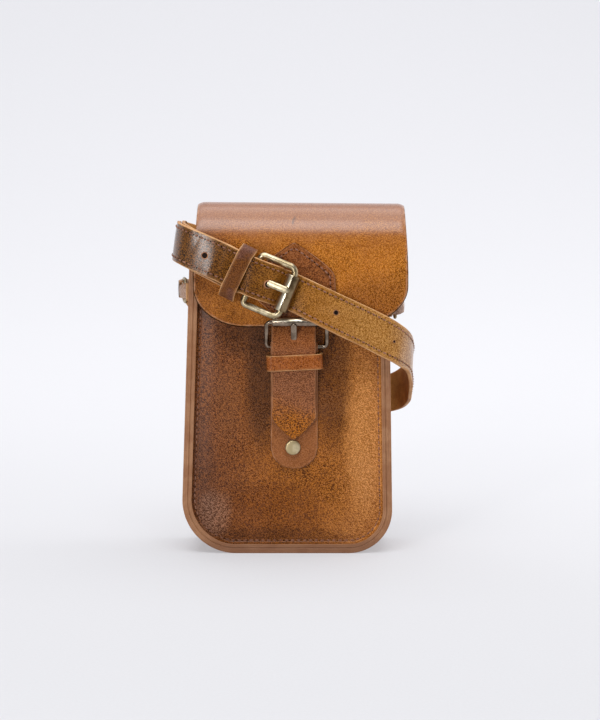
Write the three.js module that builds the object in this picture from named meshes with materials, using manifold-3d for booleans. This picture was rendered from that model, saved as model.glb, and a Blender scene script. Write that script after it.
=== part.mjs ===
// A small upright leather shoulder bag: a stiff hollow pouch with a turned rim, a flap that is one
// piece with the back, a buckled closure, and a shoulder strap wrapped once round the body.
// Millimetres, +Z up. The front faces -Y and the origin is the middle of the flat base.

import * as THREE from 'three';
import { mergeVertices } from 'three/addons/utils/BufferGeometryUtils.js';
import Module from 'manifold-3d';

const wasm = await Module();
wasm.setup();

// Clearance between pieces that touch
const GAP = 0.3;

// Pouch outline seen from the front: side lines from foot to head, and the two bottom corners
const POUCH = {
  leftFoot: -60.3,
  leftHead: -55.4,
  leftCorner: 31,
  rightFoot: 60.1,
  rightHead: 57.6,
  rightCorner: 25,
  headHeight: 170,
  halfDepth: 25,
};
const GUSSET = {
  wall: 2.8,
  top: 171,
  sideBow: 1.4,
  bowDepths: [-16, -7, 2, 16],
  bowFrom: 31,
  bowFull: 70,
  bowFade: 105,
  bowEnd: 130,
};
const PANEL = {
  wall: 2.2,
  frontTop: 165,
  backTop: 150,
  dome: 0.7,
  domeShift: 0.12,
  lipFade: 30,
  lipPower: 10,
  flatInset: 4.0,
};
const SIDE_STEPS = 8;
const CORNER_STEPS = 7;
const BASE_STEPS = 7;

// A panel's turned border, from the cut edge inwards: inset from the pouch outline, and depth
// behind the plane of the rim
const BORDER_LEVELS = [
  { inset: 5.3, recess: 0 },
  { inset: 5.45, recess: 1.4 },
  { inset: 6.1, recess: 2.3 },
  { inset: 7.4, recess: 2.75 },
  { inset: 13, recess: 2.4 },
];

// Flap: an arch over the mouth, then a straight front with two rounded corners
const FLAP = {
  wall: 2.0,
  archRadius: 25.5,
  archY: -2.5,
  archZ: 175,
  bottom: 129.4,
  halfWidth: 62.4,
  centre: 7,
  cornerWide: 34,
  cornerTall: 24,
  archSteps: 12,
  cornerSteps: 7,
  spreadFrom: 4,
  spreadFull: 50,
};

// Closure strap, from its sewn head on the flap to its pointed tip: height, the depth of its
// front face and its half width
const CLOSURE_STRAP = { wall: 2.1, headCentre: 3.8, tailCentre: 3.6, shiftFrom: 140, shiftTo: 150 };
const CLOSURE_STRAP_ROWS = [
  { z: 178.7, y: -30.2, half: 0.8 },
  { z: 173.5, y: -30.5, half: 8.6 },
  { z: 166.2, y: -30.5, half: 18.1 },
  { z: 162.4, y: -30.5, half: 21.8 },
  { z: 159.4, y: -30.5, half: 23.2 },
  { z: 156, y: -30.5, half: 23.4 },
  { z: 151, y: -30.5, half: 23.4 },
  { z: 146, y: -30.5, half: 20.3 },
  { z: 141.5, y: -30.5, half: 15.2 },
  { z: 138.8, y: -30.5, half: 13 },
  { z: 136, y: -30.5, half: 12.5 },
  { z: 132.7, y: -30.6, half: 12.5 },
  { z: 127.5, y: -31.5, half: 12.5 },
  { z: 122.5, y: -32.8, half: 12.5 },
  { z: 118.2, y: -33.2, half: 12.5 },
  { z: 114.5, y: -32.3, half: 12.5 },
  { z: 110, y: -31.5, half: 12.5 },
  { z: 104, y: -31.1, half: 12.5 },
  { z: 99, y: -29.9, half: 12.5 },
  { z: 92, y: -28.3, half: 12.5 },
  { z: 85, y: -27.8, half: 12.5 },
  { z: 78, y: -27.6, half: 12.5 },
  { z: 66.2, y: -27.6, half: 0.8 },
];

// Closure base: a riveted tab that runs up the panel and folds round the buckle's heel bar
const CLOSURE_BASE = {
  wall: 1.6,
  half: 13.4,
  centre: 3.9,
  bottom: 49,
  endCentre: 61.5,
  endTurns: [12, 35, 60],
  foldSteps: 6,
  foldFrom: -10,
  foldTo: 190,
};
const CLOSURE_BASE_ROWS = [
  { z: 61.5, y: -24.4 },
  { z: 75, y: -24.4 },
  { z: 90, y: -24.5 },
  { z: 96, y: -25.4 },
  { z: 101, y: -26.8 },
  { z: 105, y: -27.9 },
  { z: 110, y: -28.2 },
  { z: 113.6, y: -29 },
];
const CLOSURE_RETURN_ROWS = [
  { z: 114, y: -25.7 },
  { z: 109, y: -25.9 },
  { z: 105, y: -25.9 },
];
const CLOSURE_RIVET = { x: 3.1, z: 60.3, radius: 4.35, height: 1.7, seat: -25.2 };
const CLOSURE_KEEPER = {
  x: 4.2,
  y: -28.6,
  z: 109.4,
  width: 32,
  depth: 10.2,
  tall: 8,
  wall: 1.2,
  tilt: -2.7,
};
const KEEPER_ROUND = 0.32;

// The two roller buckles. In each one's own frame X runs along the heel bar, and the roller lies
// rollerZ above the heel bar and rollerY in front of it.
const CLOSURE_BUCKLE = {
  name: 'closure',
  heel: { x: 5.3, y: -27.6, z: 118.2 },
  turn: 0,
  rollerY: -6.0,
  rollerZ: 14.5,
  width: 34,
  upperCorner: 2.4,
  lowerCorner: 2.4,
  wire: 1.05,
  rollerRadius: 2.6,
  rollerHalf: 14.4,
  rollerShift: 0.7,
  prongX: -1.6,
  prongHalf: 1.7,
  prongThick: 0.65,
};
const STRAP_BUCKLE = {
  name: 'strap',
  heel: { x: -19.8, y: -36.6, z: 156 },
  turn: 109,
  rollerY: -2.3,
  rollerZ: 21.2,
  width: 29.7,
  upperCorner: 4,
  lowerCorner: 2.4,
  wire: 1.85,
  rollerRadius: 3.8,
  rollerHalf: 10.6,
  rollerShift: 0,
  prongX: 2.0,
  prongHalf: 2.0,
  prongThick: 0.9,
};
const ROLLER = { clearance: 0.25, chamfer: 0.5, sides: 14 };
const PRONG = {
  clearance: 0.35,
  slot: 0.55,
  eyeFrom: -205,
  eyeSteps: 9,
  reach: [0.35, 0.7, 1.08],
  sections: 22,
};
const WIRE_SIDES = 8;

// Shoulder strap: two straps of the same width. Each row is a place on the middle line, in the
// order front to right to back to left, with the strap's width and its lean out of the upright.
const STRAP = { width: 22, end: 10.5, billetWall: 2.2, buckleWall: 2.0 };
const HOLE = { radius: 1.3, length: 14, sides: 8 };
const BILLET_ROWS = [
  { x: -64.3, y: 6, z: 179, width: 8 },
  { x: -64.3, y: 1, z: 179.1, width: 19 },
  { x: -64.2, y: -3, z: 179.2 },
  { x: -64.1, y: -11, z: 179.4 },
  { x: -62.9, y: -23.4, z: 178.8 },
  { x: -56.6, y: -33.2, z: 176.5 },
  { x: -46.5, y: -35.6, z: 172.3 },
  { x: -36.5, y: -37.2, z: 167.6 },
  { x: -27.5, y: -40.4, z: 162.6 },
  { x: -19, y: -42.7, z: 158.4, square: true },
  { x: -12.5, y: -41.7, z: 155.7, square: true },
  { x: -7.7, y: -39.2, z: 153.8, square: true },
  { x: -4.7, y: -35.9, z: 152.2, square: true },
  { x: -0.7, y: -33.5, z: 150.6, square: true },
  { x: 6, y: -34.2, z: 147.9, lean: 6 },
  { x: 15, y: -36, z: 144, lean: 8 },
  { x: 25, y: -35.9, z: 139.4, lean: 8 },
  { x: 35, y: -34.5, z: 134.8, lean: 6 },
  { x: 46, y: -32.5, z: 129.8, lean: 3 },
  { x: 56, y: -30.9, z: 125.2 },
  { x: 64.5, y: -27, z: 120.4 },
  { x: 70, y: -18, z: 114.8 },
  { x: 71.6, y: -5, z: 108.5 },
  { x: 71.2, y: 8, z: 103 },
  { x: 69, y: 19, z: 98 },
  { x: 62.5, y: 27.2, z: 93.8 },
  { x: 50, y: 29, z: 91.5 },
  { x: 34, y: 28.8, z: 94 },
  { x: 14, y: 28.6, z: 101.5 },
  { x: -14, y: 28.5, z: 116.5 },
  { x: -44, y: 28.4, z: 135 },
  { x: -55, y: 28.7, z: 142 },
  { x: -61.3, y: 24, z: 146.5, width: 19 },
];
const BILLET_HOLES = [
  { x: -47.7, y: -35.5, z: 171.5 },
  { x: 27.8, y: -35.7, z: 138.1 },
  { x: 62.4, y: -28.3, z: 121.6 },
];
const BUCKLE_PIECE_ROWS = [
  { x: 63.6, y: 23.5, z: 142.5, width: 19 },
  { x: 57.5, y: 28.7, z: 144.6 },
  { x: 46, y: 28.4, z: 147.5 },
  { x: 0, y: 28.4, z: 160.5 },
  { x: -46, y: 28.4, z: 173 },
  { x: -55.5, y: 28.7, z: 175.6 },
  { x: -61.3, y: 24, z: 177.6 },
  { x: -61.7, y: 8, z: 179 },
  { x: -61.5, y: -11, z: 179.4 },
  { x: -60.3, y: -22.3, z: 178.8 },
  { x: -54.8, y: -30.9, z: 176.4 },
  { x: -46, y: -33, z: 172.2 },
  { x: -36, y: -34.6, z: 167.5 },
  { x: -27, y: -37.3, z: 163 },
];
const BUCKLE_RETURN_ROWS = [
  { x: -27, y: -31.2, z: 162.6 },
  { x: -35, y: -30.9, z: 166.6 },
  { x: -42, y: -30.5, z: 169.9 },
];
const FOLD = { lift: 1.5, width: 20.5, turns: [-10, 40, 90, 140, 190] };
const STRAP_KEEPER = {
  x: -27.4,
  y: -36.8,
  z: 162.4,
  width: 32,
  depth: 17,
  tall: 9,
  wall: 1.3,
  tilt: 116,
};

// Side anchors: a leather loop sewn to the gusset, and a ring through it that holds a strap end
const ANCHOR = {
  leftHeight: 150,
  rightHeight: 141,
  loopTall: 11.5,
  loopWall: 1.6,
  bulge: 2.1,
  frontY: -18,
  barY: -8,
  rearY: 1,
  flat: 3.6,
  ringLength: 14,
  ringTall: 14.6,
  ringWire: 1.0,
  ringCorner: 2.6,
  rearRise: 4.3,
  eyeTail: 9,
  eyeNear: 2,
  eyeTurns: [45, 90, 135],
  eyeSlack: 0.2,
};

// Colours of the finished leather and metal
const LEATHER = {
  flap: new THREE.MeshStandardMaterial({ color: 0xa66226, roughness: 0.5 }),
  panel: new THREE.MeshStandardMaterial({ color: 0x8c5526, roughness: 0.5 }),
  rim: new THREE.MeshStandardMaterial({ color: 0xa0704e, roughness: 0.6 }),
  closure: new THREE.MeshStandardMaterial({ color: 0x7d4426, roughness: 0.55 }),
  strap: new THREE.MeshStandardMaterial({ color: 0x94641f, roughness: 0.5 }),
};
const BRASS = new THREE.MeshStandardMaterial({ color: 0xa5966e, roughness: 0.35, metalness: 1 });

const radians = THREE.MathUtils.degToRad;
const mix = THREE.MathUtils.lerp;
const smooth = (value, from, to) => THREE.MathUtils.smoothstep(value, from, to);

// A closed leather wall from its outer surface: points, quads that face out, and a thickness
function leatherWall(points, quads, thickness) {
  const count = points.length;
  const triangles = quads.flatMap(([a, b, c, d]) => [[a, b, c], [a, c, d]]);
  const normals = points.map(() => new THREE.Vector3());
  const rims = new Map();
  const index = [];
  for (const [a, b, c] of triangles) {
    const edge = points[b].clone().sub(points[a]);
    const normal = edge.cross(points[c].clone().sub(points[a]));
    for (const corner of [a, b, c]) normals[corner].add(normal);
    index.push(a, b, c, a + count, c + count, b + count);
    for (const [from, to] of [[a, b], [b, c], [c, a]]) {
      if (!rims.delete(`${to} ${from}`)) rims.set(`${from} ${to}`, [from, to]);
    }
  }
  for (const [from, to] of rims.values()) {
    index.push(to, from, from + count, to, from + count, to + count);
  }
  const inner = points.map((point, at) => (
    point.clone().addScaledVector(normals[at].normalize(), -thickness)
  ));
  const geometry = new THREE.BufferGeometry().setFromPoints([...points, ...inner]);
  geometry.setIndex(index);
  geometry.computeVertexNormals();
  return geometry;
}

// Quads of a grid of rows by columns, facing out where rows run up and columns run right
function gridQuads(rows, columns, closed = false) {
  const quads = [];
  for (let row = 0; row + 1 < rows; row++) {
    for (let column = 0; column < (closed ? columns : columns - 1); column++) {
      const next = (column + 1) % columns;
      quads.push([
        row * columns + column,
        row * columns + next,
        (row + 1) * columns + next,
        (row + 1) * columns + column,
      ]);
    }
  }
  return quads;
}

// The same quads facing the other way
function flipped(quads) {
  return quads.map((quad) => [...quad].reverse());
}

// A geometry as a solid that can be joined and cut, and back
function toSolid(geometry) {
  const bare = geometry.clone();
  bare.deleteAttribute('normal');
  bare.deleteAttribute('uv');
  const merged = mergeVertices(bare, 1e-4);
  return new wasm.Manifold(new wasm.Mesh({
    numProp: 3,
    vertProperties: new Float32Array(merged.attributes.position.array),
    triVerts: new Uint32Array(merged.index.array),
  }));
}

function cut(geometry, cutters) {
  let solid = toSolid(geometry);
  for (const cutter of cutters) solid = solid.subtract(toSolid(cutter));
  const mesh = solid.getMesh();
  const result = new THREE.BufferGeometry();
  result.setAttribute('position', new THREE.BufferAttribute(new Float32Array(mesh.vertProperties), 3));
  result.setIndex(new THREE.BufferAttribute(new Uint32Array(mesh.triVerts), 1));
  result.computeVertexNormals();
  return result;
}

// The pouch outline from its left head, round the base, to its right head, with inward normals
function pouchOutline(topZ) {
  const { leftFoot, leftCorner, rightFoot, rightCorner } = POUCH;
  const path = [];
  for (let step = 0; step < SIDE_STEPS; step++) {
    const z = mix(topZ, leftCorner, step / SIDE_STEPS);
    path.push({ x: sideSurface(-1, z), z });
  }
  for (let step = 0; step < CORNER_STEPS; step++) {
    const turn = radians(180 + (90 * step) / CORNER_STEPS);
    path.push({
      x: leftFoot + leftCorner * (1 + Math.cos(turn)),
      z: leftCorner * (1 + Math.sin(turn)),
    });
  }
  for (let step = 0; step <= BASE_STEPS; step++) {
    path.push({ x: mix(leftFoot + leftCorner, rightFoot - rightCorner, step / BASE_STEPS), z: 0 });
  }
  for (let step = 1; step <= CORNER_STEPS; step++) {
    const turn = radians(270 + (90 * step) / CORNER_STEPS);
    path.push({
      x: rightFoot - rightCorner * (1 - Math.cos(turn)),
      z: rightCorner * (1 + Math.sin(turn)),
    });
  }
  for (let step = 1; step <= SIDE_STEPS; step++) {
    const z = mix(rightCorner, topZ, step / SIDE_STEPS);
    path.push({ x: sideSurface(1, z), z });
  }
  return path.map((point, at) => {
    const before = path[Math.max(at - 1, 0)];
    const after = path[Math.min(at + 1, path.length - 1)];
    const along = new THREE.Vector2(after.x - before.x, after.z - before.z).normalize();
    return { ...point, inX: -along.y, inZ: along.x };
  });
}

// X of the pouch's side at a height: side is -1 on the left and 1 on the right
function sideSurface(side, z) {
  const { leftFoot, leftHead, leftCorner, rightFoot, rightHead, rightCorner, headHeight } = POUCH;
  if (side < 0) return mix(leftFoot, leftHead, (z - leftCorner) / (headHeight - leftCorner));
  return mix(rightFoot, rightHead, (z - rightCorner) / (headHeight - rightCorner));
}

// The gusset: one band round both sides and the base, bowed in a little between the rims
function gusset() {
  const { wall, top, sideBow, bowDepths, bowFrom, bowFull, bowFade, bowEnd } = GUSSET;
  const depths = [-POUCH.halfDepth, ...bowDepths, POUCH.halfDepth];
  const outline = pouchOutline(top);
  const points = [];
  for (const y of depths) {
    const across = Math.max(0, 1 - (y / bowDepths[0]) ** 2);
    for (const { x, z, inX, inZ } of outline) {
      const bow = sideBow * across * smooth(z, bowFrom, bowFull) * (1 - smooth(z, bowFade, bowEnd));
      points.push(new THREE.Vector3(x + inX * bow, y, z + inZ * bow));
    }
  }
  return leatherWall(points, flipped(gridQuads(depths.length, outline.length)), wall);
}

// Rungs across a panel from its left border to its right one, top first, then the strip of
// border along the base. side is -1 for the front and 1 for the back.
function panelSurface(topZ, side, lipAt) {
  const outline = pouchOutline(topZ);
  const legs = SIDE_STEPS + CORNER_STEPS;
  const last = BORDER_LEVELS.length - 1;
  const place = (sample, level) => {
    const { inset, recess } = BORDER_LEVELS[level];
    const lip = lipAt(sample.z);
    const spread = (1 - lip) ** PANEL.lipPower * (BORDER_LEVELS[0].inset - PANEL.flatInset);
    const reach = inset - spread * (1 - level / last);
    const depth = mix(BORDER_LEVELS[last].recess, recess, lip);
    return new THREE.Vector3(
      sample.x + sample.inX * reach,
      side * (POUCH.halfDepth - depth),
      sample.z + sample.inZ * reach,
    );
  };
  const rungs = [];
  for (let leg = 0; leg <= legs; leg++) {
    const left = BORDER_LEVELS.map((_, level) => place(outline[leg], level));
    const right = BORDER_LEVELS.map((_, level) => place(outline[outline.length - 1 - leg], level));
    const middle = [];
    for (let step = 1; step < BASE_STEPS; step++) {
      const share = step / BASE_STEPS;
      const point = left[last].clone().lerp(right[last], share);
      const height = Math.min(1, (legs - leg) / legs + PANEL.domeShift);
      const swell = Math.sin(Math.PI * share) * Math.sin(Math.PI * height);
      point.y += side * PANEL.dome * Math.max(0, swell);
      middle.push(point);
    }
    rungs.push([...left, ...middle, ...right.reverse()]);
  }
  const base = [];
  for (let level = 0; level < last; level++) {
    base.push(outline.slice(legs + 1, legs + BASE_STEPS).map((sample) => place(sample, level)));
  }
  return { rungs, base };
}

// A panel as a closed wall, with rows of points above its top rung if it has a flap
function panelWall({ rungs, base }, flapRows, side, thickness) {
  const rows = [...flapRows, ...rungs];
  const columns = rows[0].length;
  const points = rows.flat();
  const quads = gridQuads(rows.length, columns);
  const bottomRow = (rows.length - 1) * columns;
  const baseStart = points.length;
  const inside = BASE_STEPS - 1;
  for (const strip of base) points.push(...strip);
  const at = (level, step) => {
    if (step === 0) return bottomRow + level;
    if (step === BASE_STEPS) return bottomRow + columns - 1 - level;
    if (level === base.length) return bottomRow + level + step;
    return baseStart + level * inside + step - 1;
  };
  for (let level = 0; level < base.length; level++) {
    for (let step = 0; step < BASE_STEPS; step++) {
      quads.push([at(level, step), at(level + 1, step), at(level + 1, step + 1), at(level, step + 1)]);
    }
  }
  return leatherWall(points, side < 0 ? flipped(quads) : quads, thickness);
}

function frontPanel() {
  const surface = panelSurface(PANEL.frontTop, -1, () => 1);
  return panelWall(surface, [], -1, PANEL.wall);
}

// The back panel and the flap, cut from one hide: flap rows run from its front edge, over the
// arch and down the back to the panel's top rung
function backPanelFlap() {
  const lipAt = (z) => 1 - smooth(z, PANEL.backTop - PANEL.lipFade, PANEL.backTop);
  const surface = panelSurface(PANEL.backTop, 1, lipAt);
  const top = surface.rungs[0];
  const left = top[0].x;
  const right = top[top.length - 1].x;
  const shares = top.map((point) => (2 * (point.x - left)) / (right - left) - 1);
  const neck = (z) => {
    const from = sideSurface(-1, z) + PANEL.flatInset;
    const to = sideSurface(1, z) - PANEL.flatInset;
    return { half: (to - from) / 2, centre: (from + to) / 2 };
  };
  const frontY = FLAP.archY - FLAP.archRadius;
  const rows = [];
  const addRow = (y, z, half, centre) => {
    rows.push(shares.map((share) => new THREE.Vector3(centre + share * half, y, z)));
  };
  for (let step = 0; step <= FLAP.cornerSteps; step++) {
    const turn = radians((90 * step) / FLAP.cornerSteps);
    const half = FLAP.halfWidth - FLAP.cornerWide * (1 - Math.sin(turn));
    addRow(frontY, FLAP.bottom + FLAP.cornerTall * (1 - Math.cos(turn)), half, FLAP.centre);
  }
  for (let step = 0; step <= FLAP.archSteps; step++) {
    const turn = radians(180 - (180 * step) / FLAP.archSteps);
    const spread = smooth(turn, radians(FLAP.spreadFrom), radians(FLAP.spreadFull));
    const { half, centre } = neck(FLAP.archZ);
    addRow(
      FLAP.archY + FLAP.archRadius * Math.cos(turn),
      FLAP.archZ + FLAP.archRadius * Math.sin(turn),
      mix(half, FLAP.halfWidth, spread),
      mix(centre, FLAP.centre, spread),
    );
  }
  const middleZ = (FLAP.archZ + PANEL.backTop) / 2;
  addRow(FLAP.archY + FLAP.archRadius, middleZ, neck(middleZ).half, neck(middleZ).centre);
  return panelWall(surface, rows, 1, FLAP.wall);
}

// A strip of leather along rows that hold a middle point, a direction across and a width
function ribbon(rows, thickness, stepsPerRow = 2, columns = 2) {
  const curve = new THREE.CatmullRomCurve3(rows.map((row) => row.point), false, 'centripetal');
  const steps = (rows.length - 1) * stepsPerRow;
  const points = [];
  for (let step = 0; step <= steps; step++) {
    const share = step / steps;
    const place = Math.min(share * (rows.length - 1), rows.length - 1 - 1e-6);
    const row = rows[Math.floor(place)];
    const next = rows[Math.floor(place) + 1];
    const local = place - Math.floor(place);
    const along = curve.getTangent(share);
    const across = row.across.clone().lerp(next.across, local);
    const out = along.clone().cross(across).normalize();
    across.crossVectors(out, along).normalize();
    const width = mix(row.width, next.width, local);
    for (let column = 0; column < columns; column++) {
      const side = column / (columns - 1) - 0.5;
      const point = curve.getPoint(share).addScaledVector(out, thickness / 2);
      points.push(point.addScaledVector(across, side * width));
    }
  }
  return leatherWall(points, flipped(gridQuads(steps + 1, columns)), thickness);
}

// Direction of the strap buckle's bars, and the way from its heel bar to its roller
function strapBuckleAxes() {
  const upright = new THREE.Vector3(0, 1, 0);
  const turn = radians(STRAP_BUCKLE.turn - 90);
  return {
    bar: new THREE.Vector3(0, 0, 1).applyAxisAngle(upright, turn),
    forward: new THREE.Vector3(1, 0, 0).applyAxisAngle(upright, turn),
  };
}

// Rows of a strap that keeps upright round the pouch. A row may lean its lower edge forward by
// some degrees, or lie square to the strap buckle's bars.
function uprightRows(table) {
  const { bar } = strapBuckleAxes();
  const places = table.map(({ x, y, z }) => new THREE.Vector3(x, y, z));
  return table.map((row, at) => {
    const before = places[Math.max(at - 1, 0)];
    const after = places[Math.min(at + 1, places.length - 1)];
    const along = after.clone().sub(before).normalize();
    const out = along.clone().cross(new THREE.Vector3(0, 0, 1)).normalize();
    const across = out.cross(along).normalize().applyAxisAngle(along, -radians(row.lean ?? 0));
    return {
      point: places[at],
      across: row.square ? bar.clone() : across,
      width: row.width ?? STRAP.width,
    };
  });
}

// A strap end folded round the rear bar of a side ring, from the tail to the main strap
function eyeRows(side, height, wall) {
  const bar = ringBar(side, height);
  const radius = ANCHOR.ringWire + GAP + wall / 2;
  const across = new THREE.Vector3(0, 0, 1);
  const rows = [];
  const add = (dx, y) => rows.push({
    point: new THREE.Vector3(bar.x + side * dx, y, height),
    across: across.clone(),
    width: STRAP.end,
  });
  add(-radius, bar.y + ANCHOR.eyeTail);
  add(-radius, bar.y + ANCHOR.eyeNear);
  for (const turn of ANCHOR.eyeTurns) {
    add(-radius * Math.cos(radians(turn)), bar.y - radius * Math.sin(radians(turn)));
  }
  add(radius, bar.y + ANCHOR.eyeNear);
  add(radius + ANCHOR.eyeSlack, bar.y + ANCHOR.eyeTail);
  return rows;
}

// Middle of the rear bar of a side ring
function ringBar(side, height) {
  return new THREE.Vector3(
    sideSurface(side, height) + side * ANCHOR.rearRise,
    ANCHOR.barY + ANCHOR.ringLength,
    height,
  );
}

function billet(prong) {
  const anchor = eyeRows(-1, ANCHOR.leftHeight, STRAP.billetWall).reverse();
  const rows = [...uprightRows(BILLET_ROWS), ...anchor];
  const holes = BILLET_HOLES.map(({ x, y, z }) => {
    const hole = new THREE.CylinderGeometry(HOLE.radius, HOLE.radius, HOLE.length, HOLE.sides);
    return hole.translate(x, y, z);
  });
  return cut(ribbon(rows, STRAP.billetWall), [...holes, prong]);
}

function bucklePiece(prong) {
  const anchor = eyeRows(1, ANCHOR.rightHeight, STRAP.buckleWall);
  const { bar, forward } = strapBuckleAxes();
  const { heel, wire } = STRAP_BUCKLE;
  const centre = new THREE.Vector3(heel.x, heel.y, heel.z).addScaledVector(bar, FOLD.lift);
  const radius = wire + GAP + STRAP.buckleWall / 2;
  const fold = FOLD.turns.map((turn) => ({
    point: centre.clone()
      .addScaledVector(forward, radius * Math.sin(radians(turn)))
      .add(new THREE.Vector3(0, -radius * Math.cos(radians(turn)), 0)),
    across: bar.clone(),
    width: FOLD.width,
  }));
  const tail = BUCKLE_RETURN_ROWS.map(({ x, y, z }) => ({
    point: new THREE.Vector3(x, y, z),
    across: bar.clone(),
    width: FOLD.width,
  }));
  const rows = [...anchor, ...uprightRows(BUCKLE_PIECE_ROWS), ...fold, ...tail];
  return cut(ribbon(rows, STRAP.buckleWall), [prong]);
}

// A flat strap down the front, from rows of height, front face depth and half width
function closureStrap(prong) {
  const { wall, headCentre, tailCentre, shiftFrom, shiftTo } = CLOSURE_STRAP;
  const shares = [-1, 0, 1];
  const points = CLOSURE_STRAP_ROWS.flatMap(({ z, y, half }) => {
    const centre = mix(tailCentre, headCentre, smooth(z, shiftFrom, shiftTo));
    return shares.map((share) => new THREE.Vector3(centre + share * half, y, z));
  });
  const quads = flipped(gridQuads(CLOSURE_STRAP_ROWS.length, shares.length));
  return cut(leatherWall(points, quads, wall), [prong]);
}

// The tab with a round end, folded round the heel bar and turned back behind itself
function closureBase(prong) {
  const { wall, half, centre, bottom, endCentre, endTurns } = CLOSURE_BASE;
  const { foldSteps, foldFrom, foldTo } = CLOSURE_BASE;
  const { heel, wire } = CLOSURE_BUCKLE;
  const across = new THREE.Vector3(-1, 0, 0);
  const radius = wire + GAP + wall / 2;
  const rows = [];
  const add = (y, z, width) => rows.push({
    point: new THREE.Vector3(centre, y, z),
    across: across.clone(),
    width,
  });
  for (const turn of endTurns) {
    const z = endCentre - Math.cos(radians(turn)) * (endCentre - bottom);
    add(CLOSURE_BASE_ROWS[0].y, z, 2 * half * Math.sin(radians(turn)));
  }
  for (const { y, z } of CLOSURE_BASE_ROWS) add(y, z, 2 * half);
  for (let step = 0; step <= foldSteps; step++) {
    const turn = radians(mix(foldFrom, foldTo, step / foldSteps));
    add(heel.y - radius * Math.cos(turn), heel.z + radius * Math.sin(turn), 2 * half);
  }
  for (const { y, z } of CLOSURE_RETURN_ROWS) add(y, z, 2 * half);
  return cut(ribbon(rows, wall), [prong]);
}

// Points of a rounded rectangle in its own plane, each with its outward direction. The upper and
// lower pairs of corners have their own radius.
function roundedLoop(width, height, upperCorner, lowerCorner, cornerPoints = 4) {
  const loop = [];
  const corners = [
    { sx: 1, sy: 1, corner: upperCorner },
    { sx: -1, sy: 1, corner: upperCorner },
    { sx: -1, sy: -1, corner: lowerCorner },
    { sx: 1, sy: -1, corner: lowerCorner },
  ];
  corners.forEach(({ sx, sy, corner }, quarter) => {
    for (let step = 0; step < cornerPoints; step++) {
      const turn = radians(90 * quarter + (90 * step) / (cornerPoints - 1));
      const out = new THREE.Vector2(Math.cos(turn), Math.sin(turn));
      const centre = new THREE.Vector2(sx * (width / 2 - corner), sy * (height / 2 - corner));
      loop.push({ point: centre.addScaledVector(out, corner), out });
    }
  });
  return loop;
}

// A ring of leather round a strap, standing tall along its own Z
function keeper({ width, depth, tall, wall }) {
  const corner = depth * KEEPER_ROUND;
  const loop = roundedLoop(width, depth, corner, corner);
  const points = [-tall / 2, tall / 2].flatMap((z) => (
    loop.map(({ point }) => new THREE.Vector3(point.x, point.y, z))
  ));
  return leatherWall(points, gridQuads(2, loop.length, true), wall);
}

// A closed ring of wire in the plane of two directions, with its lower bar at the origin
function wireRing({ width, height, upperCorner, lowerCorner, wire }, across, up) {
  const normal = across.clone().cross(up);
  const inPlane = (x, y) => across.clone().multiplyScalar(x).addScaledVector(up, y);
  const loop = roundedLoop(width, height, upperCorner, lowerCorner);
  const points = loop.flatMap(({ point, out }) => (
    Array.from({ length: WIRE_SIDES }, (_, side) => {
      const turn = (2 * Math.PI * side) / WIRE_SIDES;
      return inPlane(point.x, point.y + height / 2)
        .add(inPlane(out.x, out.y).multiplyScalar(wire * Math.cos(turn)))
        .addScaledVector(normal, wire * Math.sin(turn));
    })
  ));
  const rows = [...points, ...points.slice(0, WIRE_SIDES).map((point) => point.clone())];
  const quads = flipped(gridQuads(loop.length + 1, WIRE_SIDES, true));
  const geometry = new THREE.BufferGeometry().setFromPoints(rows);
  geometry.setIndex(quads.flatMap(([a, b, c, d]) => [a, b, c, a, c, d]));
  geometry.computeVertexNormals();
  return geometry;
}

// The prong: an eye round the heel bar, then a straight run that rests on the roller
function prongGeometry(buckle, extra) {
  const { rollerY, rollerZ, wire, rollerRadius, prongX, prongHalf, prongThick } = buckle;
  const length = Math.hypot(rollerY, rollerZ);
  const eye = wire + PRONG.clearance + prongThick;
  const rest = rollerRadius + GAP + prongThick;
  const slant = Math.atan2(-rollerY, rollerZ) + Math.asin((rest - eye) / length);
  const points = [];
  const eyeEnd = 90 - THREE.MathUtils.radToDeg(slant);
  for (let step = 0; step <= PRONG.eyeSteps; step++) {
    const turn = radians(mix(PRONG.eyeFrom, eyeEnd, step / PRONG.eyeSteps));
    points.push(new THREE.Vector3(prongX, -eye * Math.sin(turn), -eye * Math.cos(turn)));
  }
  const start = points[points.length - 1];
  const along = new THREE.Vector3(0, -Math.sin(slant), Math.cos(slant));
  for (const share of PRONG.reach) {
    points.push(start.clone().addScaledVector(along, length * share));
  }
  const path = new THREE.CatmullRomCurve3(points, false, 'centripetal');
  const section = new THREE.Shape();
  section.absellipse(0, 0, prongHalf + extra, prongThick + extra, 0, 2 * Math.PI, false, 0);
  return new THREE.ExtrudeGeometry(section, {
    steps: PRONG.sections,
    extrudePath: path,
    curveSegments: 4,
    bevelEnabled: false,
  });
}

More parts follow.
